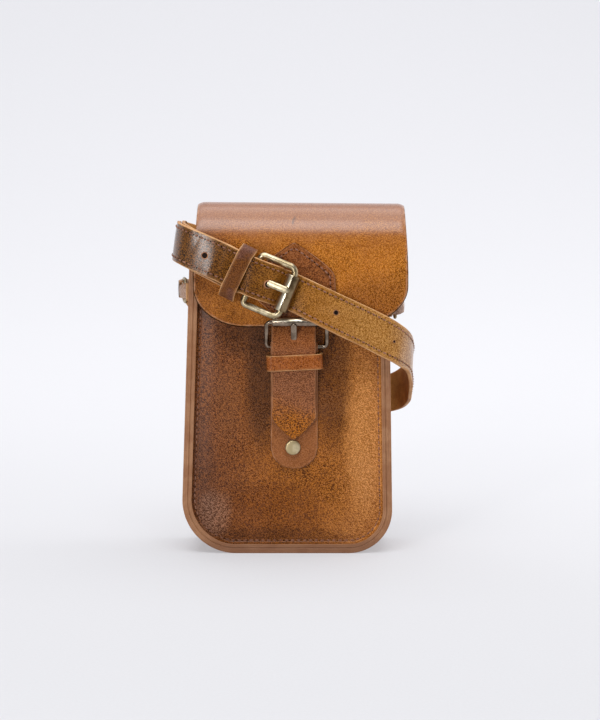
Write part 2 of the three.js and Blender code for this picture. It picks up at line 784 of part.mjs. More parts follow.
// A roller buckle: frame, roller and prong in one group, and the slot that its prong needs
function rollerBuckle(buckle) {
  const { name, heel, turn, rollerY, rollerZ, wire, rollerRadius, rollerHalf, rollerShift } = buckle;
  const group = new THREE.Group();
  group.position.set(heel.x, heel.y, heel.z);
  group.rotation.y = radians(turn);
  group.updateMatrixWorld();
  const direction = new THREE.Vector3(0, rollerY, rollerZ).normalize();
  const size = { ...buckle, height: Math.hypot(rollerY, rollerZ) };
  const frame = wireRing(size, new THREE.Vector3(1, 0, 0), direction);
  group.add(piece(`${name}_buckle_frame`, frame, BRASS));
  const bore = wire + ROLLER.clearance;
  const rim = ROLLER.chamfer;
  const profile = [
    new THREE.Vector2(bore, -rollerHalf),
    new THREE.Vector2(rollerRadius - rim, -rollerHalf),
    new THREE.Vector2(rollerRadius, -rollerHalf + rim),
    new THREE.Vector2(rollerRadius, rollerHalf - rim),
    new THREE.Vector2(rollerRadius - rim, rollerHalf),
    new THREE.Vector2(bore, rollerHalf),
    new THREE.Vector2(bore, -rollerHalf),
  ];
  const tube = new THREE.LatheGeometry(profile, ROLLER.sides).rotateZ(Math.PI / 2);
  const roller = piece(`${name}_roller`, tube, BRASS);
  roller.position.set(rollerShift, rollerY, rollerZ);
  group.add(roller);
  group.add(piece(`${name}_prong`, prongGeometry(buckle, 0), BRASS));
  const slot = prongGeometry(buckle, PRONG.slot).applyMatrix4(group.matrixWorld);
  return { group, slot };
}

function rivet() {
  const { radius, height } = CLOSURE_RIVET;
  const profile = [
    new THREE.Vector2(0, 0),
    new THREE.Vector2(radius, 0),
    new THREE.Vector2(radius, height * 0.35),
    new THREE.Vector2(radius * 0.88, height * 0.7),
    new THREE.Vector2(radius * 0.55, height * 0.93),
    new THREE.Vector2(0, height),
  ];
  return new THREE.LatheGeometry(profile, 16).rotateX(Math.PI);
}

// The leather loop of a side anchor: flat at both ends, bulged over the ring's front bar
function sideLoop(side, height) {
  const { frontY, barY, rearY, flat, bulge, loopWall, loopTall } = ANCHOR;
  const seat = GAP + loopWall / 2;
  const crest = GAP + 2 * bulge + loopWall / 2;
  const profile = [
    [frontY, seat],
    [barY - flat - 2, seat],
    [barY - flat, seat + 0.5],
    [barY - flat * 0.6, crest * 0.72],
    [barY, crest],
    [barY + flat * 0.6, crest * 0.72],
    [barY + flat, seat + 0.5],
    [rearY, seat],
  ];
  const rows = profile.map(([y, rise]) => ({
    point: new THREE.Vector3(sideSurface(side, height) + side * rise, y, height),
    across: new THREE.Vector3(0, 0, side),
    width: loopTall,
  }));
  return ribbon(rows, loopWall);
}

// The ring of a side anchor, from the bar under the loop back to the bar that holds the strap
function sideRing(side, height) {
  const { ringLength, ringTall, ringCorner, ringWire, bulge, rearRise } = ANCHOR;
  const rise = rearRise - (GAP + bulge);
  const size = {
    width: ringTall,
    height: Math.hypot(rise, ringLength),
    upperCorner: ringCorner,
    lowerCorner: ringCorner,
    wire: ringWire,
  };
  const back = new THREE.Vector3(side * rise, ringLength, 0).normalize();
  return wireRing(size, new THREE.Vector3(0, 0, 1), back);
}

function piece(name, geometry, material) {
  const mesh = new THREE.Mesh(geometry, material);
  mesh.name = name;
  return mesh;
}

function place(mesh, { x, y, z, tilt }) {
  mesh.position.set(x, y, z);
  mesh.rotation.y = radians(tilt);
  return mesh;
}

const bag = new THREE.Group();
const closureBuckle = rollerBuckle(CLOSURE_BUCKLE);
const strapBuckle = rollerBuckle(STRAP_BUCKLE);

bag.add(piece('front_panel', frontPanel(), LEATHER.panel));
bag.add(piece('gusset', gusset(), LEATHER.rim));
bag.add(piece('back_panel_flap', backPanelFlap(), LEATHER.flap));
bag.add(piece('closure_strap', closureStrap(closureBuckle.slot), LEATHER.closure));
bag.add(piece('closure_base', closureBase(closureBuckle.slot), LEATHER.closure));
bag.add(place(piece('closure_keeper', keeper(CLOSURE_KEEPER), LEATHER.closure), CLOSURE_KEEPER));
const rivetHead = piece('closure_rivet', rivet(), BRASS);
rivetHead.position.set(CLOSURE_RIVET.x, CLOSURE_RIVET.seat - GAP, CLOSURE_RIVET.z);
bag.add(rivetHead);
bag.add(closureBuckle.group);
bag.add(piece('strap_billet', billet(strapBuckle.slot), LEATHER.strap));
bag.add(piece('strap_buckle_piece', bucklePiece(strapBuckle.slot), LEATHER.strap));
bag.add(place(piece('strap_keeper', keeper(STRAP_KEEPER), LEATHER.strap), STRAP_KEEPER));
bag.add(strapBuckle.group);
for (const [label, side, height] of [['left', -1, ANCHOR.leftHeight], ['right', 1, ANCHOR.rightHeight]]) {
  bag.add(piece(`side_loop_${label}`, sideLoop(side, height), LEATHER.rim));
  const ring = piece(`side_ring_${label}`, sideRing(side, height), BRASS);
  ring.position.set(sideSurface(side, height) + side * (GAP + ANCHOR.bulge), ANCHOR.barY, height);
  bag.add(ring);
}

export default bag;
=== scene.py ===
"""Looks of a small leather shoulder bag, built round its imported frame.

Tables and sizes are in millimetres, +Z up, with the front of the bag at -Y. Objects are in metres.
"""

import logging
import math
from dataclasses import dataclass, field, replace
from enum import Enum
from typing import Callable, Sequence

import bpy
import numpy as np
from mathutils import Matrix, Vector, noise


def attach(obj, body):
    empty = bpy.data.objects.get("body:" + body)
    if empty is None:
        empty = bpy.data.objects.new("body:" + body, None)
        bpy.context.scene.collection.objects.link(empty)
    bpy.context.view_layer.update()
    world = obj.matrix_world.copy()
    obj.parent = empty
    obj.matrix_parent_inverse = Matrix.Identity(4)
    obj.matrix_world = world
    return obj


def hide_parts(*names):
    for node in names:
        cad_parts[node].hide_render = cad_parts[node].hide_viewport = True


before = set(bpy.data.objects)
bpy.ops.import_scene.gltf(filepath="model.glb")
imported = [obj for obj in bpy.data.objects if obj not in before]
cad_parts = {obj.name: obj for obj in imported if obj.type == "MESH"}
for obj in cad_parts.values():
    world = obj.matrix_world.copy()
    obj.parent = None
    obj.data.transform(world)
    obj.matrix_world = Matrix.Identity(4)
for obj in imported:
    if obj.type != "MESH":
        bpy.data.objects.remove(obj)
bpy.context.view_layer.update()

MM = 0.001
# Air between two parts that touch, in millimetres
GAP = 0.3
# Rounding of a cut edge of thick leather
EDGE_ROUND = 0.5
X_AXIS, Y_AXIS, Z_AXIS = np.eye(3)
Array = np.ndarray
Tint = tuple[int, int, int]
Pair = tuple[float, float]
Point = tuple[float, float, float]
# Places on a middle line, directions across it and widths
Rows = tuple[Array, Array, list[float]]
log = logging.getLogger("bag")


# Numbers and curves


def unit(vectors: Array) -> Array:
    """Scale vectors to length one."""
    return vectors / np.maximum(np.linalg.norm(vectors, axis=-1, keepdims=True), 1e-9)


def ease(value: Array | float, start: float, end: float) -> Array | float:
    """Go smoothly from 0 at start to 1 at end."""
    share = np.clip((np.asarray(value, float) - start) / (end - start), 0.0, 1.0)
    return share * share * (3.0 - 2.0 * share)


def catmull(points: Array, steps: int) -> Array:
    """Sample a centripetal spline.

    Args:
        points: the places that the curve goes through, one a row.
        steps: samples from each place to the next.

    Returns:
        The samples, both ends included.
    """
    places = np.vstack([2 * points[0] - points[1], points, 2 * points[-1] - points[-2]])
    share = np.linspace(0.0, 1.0, steps, endpoint=False)[:, None]
    samples = []
    for a, b, c, d in zip(places, places[1:], places[2:], places[3:]):
        gaps = [max(float(np.linalg.norm(q - p)) ** 0.5, 1e-4) for p, q in ((a, b), (b, c), (c, d))]
        leave = ((b - a) / gaps[0] - (c - a) / (gaps[0] + gaps[1]) + (c - b) / gaps[1]) * gaps[1]
        arrive = ((c - b) / gaps[1] - (d - b) / (gaps[1] + gaps[2]) + (d - c) / gaps[2]) * gaps[1]
        cubic = 2 * b - 2 * c + leave + arrive
        square = -3 * b + 3 * c - 2 * leave - arrive
        samples.append(b + leave * share + square * share**2 + cubic * share**3)
    return np.vstack([*samples, points[-1:]])


def between(values: Sequence[float], steps: int) -> Array:
    """Go straight from each value to the next in a number of steps."""
    places = np.arange((len(values) - 1) * steps + 1) / steps
    return np.interp(places, np.arange(len(values)), values)


def arc_lengths(points: Array) -> Array:
    """Give the length along a line at each of its points."""
    return np.concatenate([[0.0], np.cumsum(np.linalg.norm(np.diff(points, axis=0), axis=1))])


def wobble(points: Array, size: float, amount: float) -> Array:
    """Give each point a small seeded unevenness.

    Args:
        points: places in millimetres.
        size: about how far apart two bumps are.
        amount: the largest value.

    Returns:
        One value a point.
    """
    return amount * np.array([noise.noise(Vector(point) / size) for point in points])


def crowded(count: int) -> Array:
    """Go from -1 to 1 in places that lie closer together towards both ends."""
    turn = math.radians(80.0)
    return np.sin(np.linspace(-1.0, 1.0, count) * turn) / math.sin(turn)


def repeated(vector: Sequence[float], count: int) -> Array:
    """Give a vector once for each of a number of points."""
    return np.repeat(np.asarray(vector, float)[None], count, 0)


def heading(azimuth: float, elevation: float) -> Vector:
    """Give the direction so many degrees to the right of the front and above the floor."""
    az, el = math.radians(azimuth), math.radians(elevation)
    return Vector((math.sin(az) * math.cos(el), -math.cos(az) * math.cos(el), math.sin(el)))


# Meshes


def numbered_quads(at: Array) -> Array:
    """Give the quads of a grid of point numbers, row by row."""
    corners = (at[:-1, :-1], at[:-1, 1:], at[1:, 1:], at[1:, :-1])
    return np.stack(corners, axis=-1).reshape(-1, 4)


def grid_quads(rows: int, columns: int, closed: bool = False) -> Array:
    """Give the quads of a grid of points, row by row, where each row may be a closed ring."""
    at = np.arange(rows * columns).reshape(rows, columns)
    return numbered_quads(np.hstack([at, at[:, :1]]) if closed else at)


class Side(Enum):
    """Number of the finish on each side of a leather wall."""

    FACE = 0
    EDGE = 1
    BACK = 2


@dataclass
class Shell:
    """Mesh data in millimetres: points, quads, a finish number a quad, and named values a point."""

    points: Array
    quads: Array
    finishes: Array
    values: dict[str, Array] = field(default_factory=dict)

    @staticmethod
    def joined(shells: Sequence["Shell"]) -> "Shell":
        """Put several shells into one, where a value that a shell lacks is 0."""
        offsets = np.cumsum([0] + [len(shell.points) for shell in shells])
        names = {name for shell in shells for name in shell.values}
        return Shell(
            np.vstack([shell.points for shell in shells]),
            np.vstack([shell.quads + offset for shell, offset in zip(shells, offsets)]),
            np.concatenate([shell.finishes for shell in shells]),
            {
                name: np.concatenate([s.values.get(name, np.zeros(len(s.points))) for s in shells])
                for name in names
            },
        )


@dataclass
class Surface:
    """The outer face of a piece of leather: points, quads that face out and strips left raw."""

    points: Array
    quads: Array
    raw: Array | None = None

    def normals(self) -> Array:
        """Give the outward direction at each point."""
        corners = self.points[self.quads]
        facing = np.cross(corners[:, 2] - corners[:, 0], corners[:, 3] - corners[:, 1])
        total = np.zeros_like(self.points)
        for corner in range(4):
            np.add.at(total, self.quads[:, corner], facing)
        return unit(total)

    def flipped(self) -> "Surface":
        """Give the same surface facing the other way."""
        return Surface(self.points, self.quads[:, ::-1], self.raw)

    def rim(self) -> Array:
        """Give the edges that only one quad has, in the quad's direction."""
        edges = np.vstack([self.quads[:, [a, (a + 1) % 4]] for a in range(4)])
        edges = edges[edges[:, 0] != edges[:, 1]]
        known = {(int(a), int(b)) for a, b in edges}
        return np.array([(a, b) for a, b in edges if (int(b), int(a)) not in known])

    def wall(self, thickness: float, radius: float, groove: float = 0.0) -> Shell:
        """Make a closed wall of leather with rounded cut edges.

        Args:
            thickness: how far the wall goes in from this surface.
            radius: rounding of its cut edges.
            groove: depth of a line along the middle of the cut edge.

        Returns:
            The wall, with the values edge (distance from the cut edge) and layer (depth into it).
        """
        normals = self.normals()
        edges = self.rim()
        ids = np.unique(edges[:, 0])
        place = {int(point): at for at, point in enumerate(ids)}
        outward = np.zeros((len(ids), 3))
        for a, b in edges:
            away = np.cross(self.points[b] - self.points[a], normals[a] + normals[b])
            for end in (a, b):
                if int(end) in place:
                    outward[place[int(end)]] += away
        outward = unit(outward)
        points = self.points.copy()
        points[ids] -= outward * radius
        inner = points - normals * thickness
        count = len(points)
        turns = np.radians([30.0, 60.0, 90.0])
        profile = [(radius * math.sin(t), radius * (1 - math.cos(t))) for t in turns]
        groove_line = ((0.42, 0.0), (0.5, groove), (0.58, 0.0))
        profile += [(radius - depth, thickness * share) for share, depth in groove_line]
        profile += [(radius * math.sin(t), thickness - radius * (1 - math.cos(t))) for t in turns[::-1]]
        rings = [points[ids] + outward * out - normals[ids] * drop for out, drop in profile]
        numbers = [2 * count + at * len(ids) + np.arange(len(ids)) for at in range(len(rings))]
        starts = [ids, *numbers, ids + count]
        ends = np.array([(place[int(a)], place[int(b)]) for a, b in edges if int(b) in place])
        strips = [
            np.stack([upper[ends[:, 1]], upper[ends[:, 0]], lower[ends[:, 0]], lower[ends[:, 1]]], axis=1)
            for upper, lower in zip(starts, starts[1:])
        ]
        quads = np.vstack([self.quads, self.quads[:, ::-1] + count, *strips])
        face = np.full(len(self.quads), Side.FACE.value)
        if self.raw is not None:
            face[self.raw] = Side.EDGE.value
        finishes = np.concatenate([
            face,
            np.full(len(self.quads), Side.BACK.value),
            np.full(sum(len(strip) for strip in strips), Side.EDGE.value),
        ])
        distance = nearest(points, points[ids])
        edge = np.concatenate([distance, distance, np.zeros(len(ids) * len(rings))])
        depths = [np.full(len(ids), drop) for _, drop in profile]
        layer = np.concatenate([np.zeros(count), np.full(count, thickness), *depths])
        return Shell(np.vstack([points, inner, *rings]), quads, finishes, {"edge": edge, "layer": layer})


def nearest(points: Array, others: Array) -> Array:
    """Give each point's distance to the nearest of some others."""
    return np.concatenate([
        np.min(np.linalg.norm(part[:, None] - others[None], axis=2), axis=1)
        for part in np.array_split(points, max(1, len(points) // 400))
    ])


def tube(
    centres: Array, across: Array, out: Array, half: Array, thick: Array, sides: int,
    closed: bool = False, finish: int = 0,
) -> Shell:
    """Sweep an ellipse along a line.

    Args:
        centres: points of the line.
        across: first direction of the ellipse at each point.
        out: second direction.
        half: radius along the first direction, one value a point.
        thick: radius along the second direction.
        sides: points round the ellipse.
        closed: whether the line is a ring.
        finish: number of its finish.

    Returns:
        The swept mesh, with flat ends if it isn't a ring.
    """
    turns = np.linspace(0.0, 2 * np.pi, sides, endpoint=False)
    rings = (
        centres[:, None]
        + across[:, None] * (np.cos(turns)[None, :] * half[:, None])[..., None]
        + out[:, None] * (np.sin(turns)[None, :] * thick[:, None])[..., None]
    )
    if closed:
        rings = np.concatenate([rings, rings[:1]])
    else:
        caps = [np.repeat(end[:, None], sides, 1) for end in (centres[:1], centres[-1:])]
        rings = np.concatenate([caps[0], rings, caps[1]])
    quads = grid_quads(len(rings), sides, closed=True)
    return Shell(rings.reshape(-1, 3), quads, np.full(len(quads), finish))


def lathe(
    profile: Sequence[Pair], origin: Array, axis: Array, side: Array, sides: int,
    finish: int = 0,
) -> Shell:
    """Turn a profile round an axis.

    Args:
        profile: pairs of radius and place along the axis.
        origin: where the axis starts.
        axis: direction of the axis.
        side: a direction square to it.
        sides: points round the axis.
        finish: number of its finish.

    Returns:
        The turned mesh.
    """
    turns = np.linspace(0.0, 2 * np.pi, sides, endpoint=False)
    ring = np.cos(turns)[:, None] * side + np.sin(turns)[:, None] * np.cross(axis, side)
    rows = [origin + axis * place + ring * radius for radius, place in profile]
    quads = grid_quads(len(rows), sides, closed=True)
    return Shell(np.vstack(rows), quads, np.full(len(quads), finish))


def rounded_loop(width: float, height: float, upper: float, lower: float, steps: int) -> tuple[Array, Array]:
    """Give the points and outward directions of a rounded rectangle.

    Args:
        width: size along the first axis.
        height: size along the second.
        upper: radius of the upper corners.
        lower: radius of the lower corners.
        steps: points a corner.

    Returns:
        Points and directions, two numbers each.
    """
    points = []
    outs = []
    corners = ((1, 1, upper), (-1, 1, upper), (-1, -1, lower), (1, -1, lower))
    for quarter, (sx, sy, radius) in enumerate(corners):
        for turn in np.radians(np.linspace(90 * quarter, 90 * quarter + 90, steps)):
            out = np.array([math.cos(turn), math.sin(turn)])
            outs.append(out)
            points.append(np.array([sx * (width / 2 - radius), sy * (height / 2 - radius)]) + out * radius)
    return np.array(points), np.array(outs)


# Shaders


def linear(tint: Tint) -> tuple[float, float, float, float]:
    """Turn screen values of 0 to 255 into a linear colour."""
    parts = [value / 255 for value in tint]
    return (*[p / 12.92 if p <= 0.04045 else ((p + 0.055) / 1.055) ** 2.4 for p in parts], 1.0)


def operator(operation: str, reflected: bool = False) -> Callable[["Signal", "Signal | float"], "Signal"]:
    """Make a method of Signal that adds a Math node, with swapped operands in its reflected form."""
    def method(self: "Signal", other: "Signal | float") -> "Signal":
        """Apply the operation."""
        return self.graph.math(operation, *((other, self) if reflected else (self, other)))

    return method


class Signal:
    """A shader socket that takes Python arithmetic."""

    __add__ = operator("ADD")
    __radd__ = operator("ADD", reflected=True)
    __sub__ = operator("SUBTRACT")
    __rsub__ = operator("SUBTRACT", reflected=True)
    __mul__ = operator("MULTIPLY")
    __rmul__ = operator("MULTIPLY", reflected=True)
    __truediv__ = operator("DIVIDE")
    __rtruediv__ = operator("DIVIDE", reflected=True)

    def __init__(self, graph: "Graph", socket: bpy.types.NodeSocket) -> None:
        """Hold a socket and the graph that it is in."""
        self.graph = graph
        self.socket = socket

    def ramp(self, start: float, end: float) -> "Signal":
        """Go smoothly from 0 at start to 1 at end; start may be the larger one."""
        sockets = {"Value": self, "From Min": min(start, end), "From Max": max(start, end)}
        eased = self.graph.node("ShaderNodeMapRange", {"interpolation_type": "SMOOTHSTEP"}, sockets)
        return eased if start < end else 1.0 - eased

    def sine(self) -> "Signal":
        """Take the sine."""
        return self.graph.math("SINE", self)


Value = Signal | float
Colour = Signal | Tint
Place = Signal | Sequence[float]


class Graph:
    """One material's nodes, round a single principled shader."""

    # Numbers of the colour sockets of a Mix node: both inputs and the output
    mix_sockets = (6, 7, 2)

    def __init__(self, name: str) -> None:
        """Start a material of that name, with the place on the object in millimetres."""
        self.material = bpy.data.materials.new(f"look_{name}")
        self.material.use_nodes = True
        self.tree = self.material.node_tree
        self.shader = next(n for n in self.tree.nodes if n.bl_idname == "ShaderNodeBsdfPrincipled")
        spot = self.node("ShaderNodeTexCoord", {}, {}, "Object")
        self.place = self.vector("MULTIPLY", spot, [1 / MM] * 3)

    def node(
        self, kind: str, settings: dict[str, object], sockets: dict[str | int, object], out: str | int = 0
    ) -> Signal:
        """Add a node.

        Args:
            kind: the node's type.
            settings: its properties, set first.
            sockets: values or signals for its inputs, by name or number.
            out: name or number of the output to use.

        Returns:
            The output.
        """
        made = self.tree.nodes.new(kind)
        for key, value in settings.items():
            setattr(made, key, value)
        for key, value in sockets.items():
            self.feed(made.inputs[key], value)
        return Signal(self, made.outputs[out])

    def feed(self, socket: bpy.types.NodeSocket, value: object) -> None:
        """Link a signal to an input, or set the input's own value."""
        if isinstance(value, Signal):
            self.tree.links.new(value.socket, socket)
        else:
            socket.default_value = value

    def math(self, operation: str, *operands: Value) -> Signal:
        """Add a Math node."""
        return self.node("ShaderNodeMath", {"operation": operation}, dict(enumerate(operands)))

    def mix(self, share: Value, first: Colour, second: Colour, how: str = "MIX") -> Signal:
        """Mix two colours.

        Args:
            share: how much of the second one.
            first: a colour.
            second: a colour.
            how: the blend.

        Returns:
            The mixed colour.
        """
        one, two = [tint if isinstance(tint, Signal) else linear(tint) for tint in (first, second)]
        a, b, out = self.mix_sockets
        settings = {"data_type": "RGBA", "blend_type": how}
        return self.node("ShaderNodeMix", settings, {0: share, a: one, b: two}, out)

    def vector(self, operation: str, first: Place, second: Place) -> Signal:
        """Add a Vector Math node."""
        return self.node("ShaderNodeVectorMath", {"operation": operation}, {0: first, 1: second})

    def noise(
        self, size: float, detail: float = 2.0, stretch: Sequence[float] = (1, 1, 1),
        place: Signal | None = None,
    ) -> Signal:
        """Add a noise.

        Args:
            size: size of a spot, in millimetres.
            detail: finer layers.
            stretch: how much longer a spot is along each axis.
            place: where, if not simply on the object.

        Returns:
            A value round 0.5.
        """
        scaled = self.vector("DIVIDE", place or self.place, [size * s for s in stretch])
        return self.node("ShaderNodeTexNoise", {}, {"Vector": scaled, "Scale": 1.0, "Detail": detail})

    def cells(self, size: float) -> Signal:
        """Give the distance from the middle of the nearest of many small cells."""
        scaled = self.vector("DIVIDE", self.place, [size] * 3)
        return self.node("ShaderNodeTexVoronoi", {}, {"Vector": scaled, "Scale": 1.0})

    def value(self, name: str) -> Signal:
        """Give a named value of the mesh."""
        return self.node("ShaderNodeAttribute", {"attribute_name": name}, {}, "Fac")

    def axis(self, name: str) -> Signal:
        """Give one coordinate of the place."""
        return self.node("ShaderNodeSeparateXYZ", {}, {0: self.place}, name)

    def bump(self, height: Signal, depth: float) -> Signal:
        """Turn a height into a normal, where depth is in millimetres."""
        sockets = {"Height": height, "Strength": 1.0, "Distance": depth * MM}
        return self.node("ShaderNodeBump", {}, sockets, "Normal")

    def finish(self, **sockets: object) -> bpy.types.Material:
        """Feed the shader's sockets, whose names have _ for a space, and give the material."""
        for name, value in sockets.items():
            self.feed(self.shader.inputs[name.replace("_", " ")], value)
        return self.material


@dataclass(frozen=True)
class Fade:
    """A second colour that takes over along one axis."""

    axis: str
    start: float
    end: float
    deep: Tint
    tint: Tint
    share: float


@dataclass(frozen=True)
class StainAndPaintedLight:
    """A soft oval of another colour, seen from the front, used for stains and for painted shadows and
    highlights: its middle, its half sizes and its tones.
    """

    middle: Pair
    half: Pair
    deep: Tint
    tint: Tint
    share: float


@dataclass(frozen=True)
class Polish:
    """A part of a face that is burnished, from nothing at start to the full weight at end."""

    axis: str
    start: float
    end: float
    weight: float


@dataclass(frozen=True)
class Leather:
    """A dressed leather face: three tones, fades, burnished parts, a dull bloom and a grain."""

    name: str
    deep: Tint
    body: Tint
    bright: Tint
    fades: tuple[Fade, ...] = ()
    stains_and_painted_light: tuple[StainAndPaintedLight, ...] = ()
    polishes: tuple[Polish, ...] = ()
    bloom: Tint = (150, 120, 115)
    bloom_share: float = 0.08
    worn: Tint = (190, 140, 90)
    worn_share: float = 0.3
    roughness: float = 0.28
    grain: float = 0.06
    coat_roughness: float = 0.32
    ior: float = 1.25
    weft: float = 2.6
    slant: float = 0.0
    streak: float = 0.2
    speck: float = 0.2


    def build(self) -> bpy.types.Material:
        """Make the material."""
        g = Graph(self.name)
        broad = g.noise(26.0, 3.0)
        middle = g.noise(4.0, 3.0)
        fine = g.noise(0.38, 0.0)
        streak = g.noise(0.36, 0.0, (1.0, 1.0, 2.6))
        sockets = {"Vector": g.place, "Angle": math.radians(self.slant)}
        turned = g.node("ShaderNodeVectorRotate", {"rotation_type": "Y_AXIS"}, sockets)
        weft = g.noise(0.36, 0.0, (self.weft, self.weft, 1.0), turned)
        pebbles = g.cells(0.7)
        drift = (broad - 0.5) * 30.0 + (middle - 0.5) * 8.0
        grain = (fine * 0.4 + streak * 0.3 + weft * 0.3).ramp(0.47, 0.54)
        colour = g.mix((broad * 0.7 + middle * 0.3).ramp(0.26, 0.62), self.deep, self.body)
        colour = g.mix(grain * 0.85, colour, self.bright)
        for fade in self.fades:
            share = (g.axis(fade.axis) + drift).ramp(fade.start, fade.end)
            colour = g.mix(share * fade.share, colour, g.mix(grain, fade.deep, fade.tint))
        # soft ovals of colour: stains, and painted shadows and highlights
        for patch in self.stains_and_painted_light:
            across = (g.axis("X") - patch.middle[0] + drift * 0.3) / patch.half[0]
            up = (g.axis("Z") - patch.middle[1] + drift * 0.3) / patch.half[1]
            share = (across * across + up * up).ramp(1.0, 0.1)
            colour = g.mix(share * patch.share, colour, g.mix(grain, patch.deep, patch.tint))
        colour = g.mix(streak.ramp(0.55, 0.8) * self.streak, colour, self.deep)
        cracks = (pebbles * 0.6 + fine * 0.5).ramp(0.6, 0.85)
        colour = g.mix(cracks * self.speck, colour, self.deep, "MULTIPLY")
        dull = (broad * 0.4 + fine * 0.6).ramp(0.46, 0.62)
        colour = g.mix(dull * self.bloom_share, colour, self.bloom)
        rub = g.value("edge").ramp(1.4, 0.1) * middle.ramp(0.3, 0.65)
        colour = g.mix(rub * self.worn_share, colour, self.worn)
        coat = (grain - 0.5) * 0.1
        for polish in self.polishes:
            coat = coat + (g.axis(polish.axis) + drift * 0.4).ramp(polish.start, polish.end) * polish.weight
        return g.finish(
            Base_Color=colour,
            Roughness=self.roughness + (fine - 0.5) * 0.2 + (broad - 0.5) * 0.15,
            Normal=g.bump(fine * 0.6 + streak * 0.2 + middle * 0.5 - pebbles * 0.5, self.grain),
            IOR=self.ior,
            Coat_Weight=coat,
            Coat_Roughness=self.coat_roughness,
        )


@dataclass(frozen=True)
class CutEdge:
    """A burnished cut edge, with the lines of its layers running along it."""

    name: str
    pale: Tint
    body: Tint
    line: Tint
    # share of painted shade that darkens the edge towards the floor
    foot: float = 0.0
    roughness: float = 0.55

    def build(self) -> bpy.types.Material:
        """Make the material."""
        g = Graph(self.name)
        drift = g.noise(9.0, 3.0)
        fine = g.noise(0.5, 3.0)
        lines = ((g.value("layer") * 7.0 + drift * 5.0).sine() * 0.5 + 0.5) * 0.6 + fine * 0.4
        colour = g.mix(g.noise(7.0, 4.0).ramp(0.35, 0.65), self.body, self.pale)
        colour = g.mix(lines.ramp(0.56, 0.85) * 0.55, colour, self.line)
        colour = g.mix(g.noise(1.4, 3.0).ramp(0.55, 0.75) * 0.4, colour, self.line)
        # painted shade towards the floor
        colour = g.mix(g.axis("Z").ramp(14.0, 2.0) * self.foot, colour, self.line)
        return g.finish(
            Base_Color=colour,
            Roughness=self.roughness + (fine - 0.5) * 0.2,
            Normal=g.bump(fine * 0.6 + lines * 0.7, 0.12),
        )


@dataclass(frozen=True)
class Flesh:
    """The napped inner side of leather."""

    name: str
    pale: Tint
    body: Tint

    def build(self) -> bpy.types.Material:
        """Make the material."""
        g = Graph(self.name)
        nap = g.noise(0.5, 4.0)
        colour = g.mix((g.noise(6.0, 4.0) * 0.6 + nap * 0.4).ramp(0.35, 0.65), self.body, self.pale)
        return g.finish(Base_Color=colour, Roughness=0.85, Normal=g.bump(nap, 0.25))


@dataclass(frozen=True)
class Thread:
    """Waxed sewing thread with a twist."""

    name: str
    pale: Tint
    body: Tint

    def build(self) -> bpy.types.Material:
        """Make the material."""
        g = Graph(self.name)
        twist = g.noise(0.35)
        colour = g.mix((g.noise(12.0) * 0.5 + twist * 0.5).ramp(0.35, 0.65), self.body, self.pale)
        return g.finish(Base_Color=colour, Roughness=0.6, Normal=g.bump(twist, 0.1), IOR=1.2)


@dataclass(frozen=True)
class Metal:
    """Aged brass: bright where it is rubbed, dull and dark elsewhere."""

    name: str
    bright: Tint
    body: Tint
    dark: Tint
    roughness: float = 0.24

    def build(self) -> bpy.types.Material:
        """Make the material."""
        g = Graph(self.name)
        broad = g.noise(5.0)
        fine = g.noise(0.6)
        colour = g.mix(broad.ramp(0.38, 0.62), self.body, self.bright)
        tarnish = (broad * 0.9 + fine * 0.1).ramp(0.56, 0.7)
        colour = g.mix(tarnish * 0.25, colour, self.dark)
        return g.finish(
            Base_Color=colour,
            Metallic=1.0,
            Roughness=self.roughness + tarnish * 0.1 + (fine - 0.5) * 0.06,
            Normal=g.bump(fine, 0.001),
        )


@dataclass(frozen=True)
class Paper:
    """The plain pale floor and backdrop, lit from within so that it stays even."""

    name: str
    tint: Tint
    near: Tint
    far: Tint

    def build(self) -> bpy.types.Material:
        """Make the material."""
        g = Graph(self.name)
        fibre = g.noise(1.5, 3.0)
        colour = g.mix((fibre - 0.5) * 0.1 + 0.05, self.tint, (225, 225, 230))
        glow = g.mix(g.axis("Y").ramp(-400.0, 900.0), self.near, self.far)
        return g.finish(Base_Color=colour, Roughness=0.9, Emission_Color=glow, Emission_Strength=1.0)


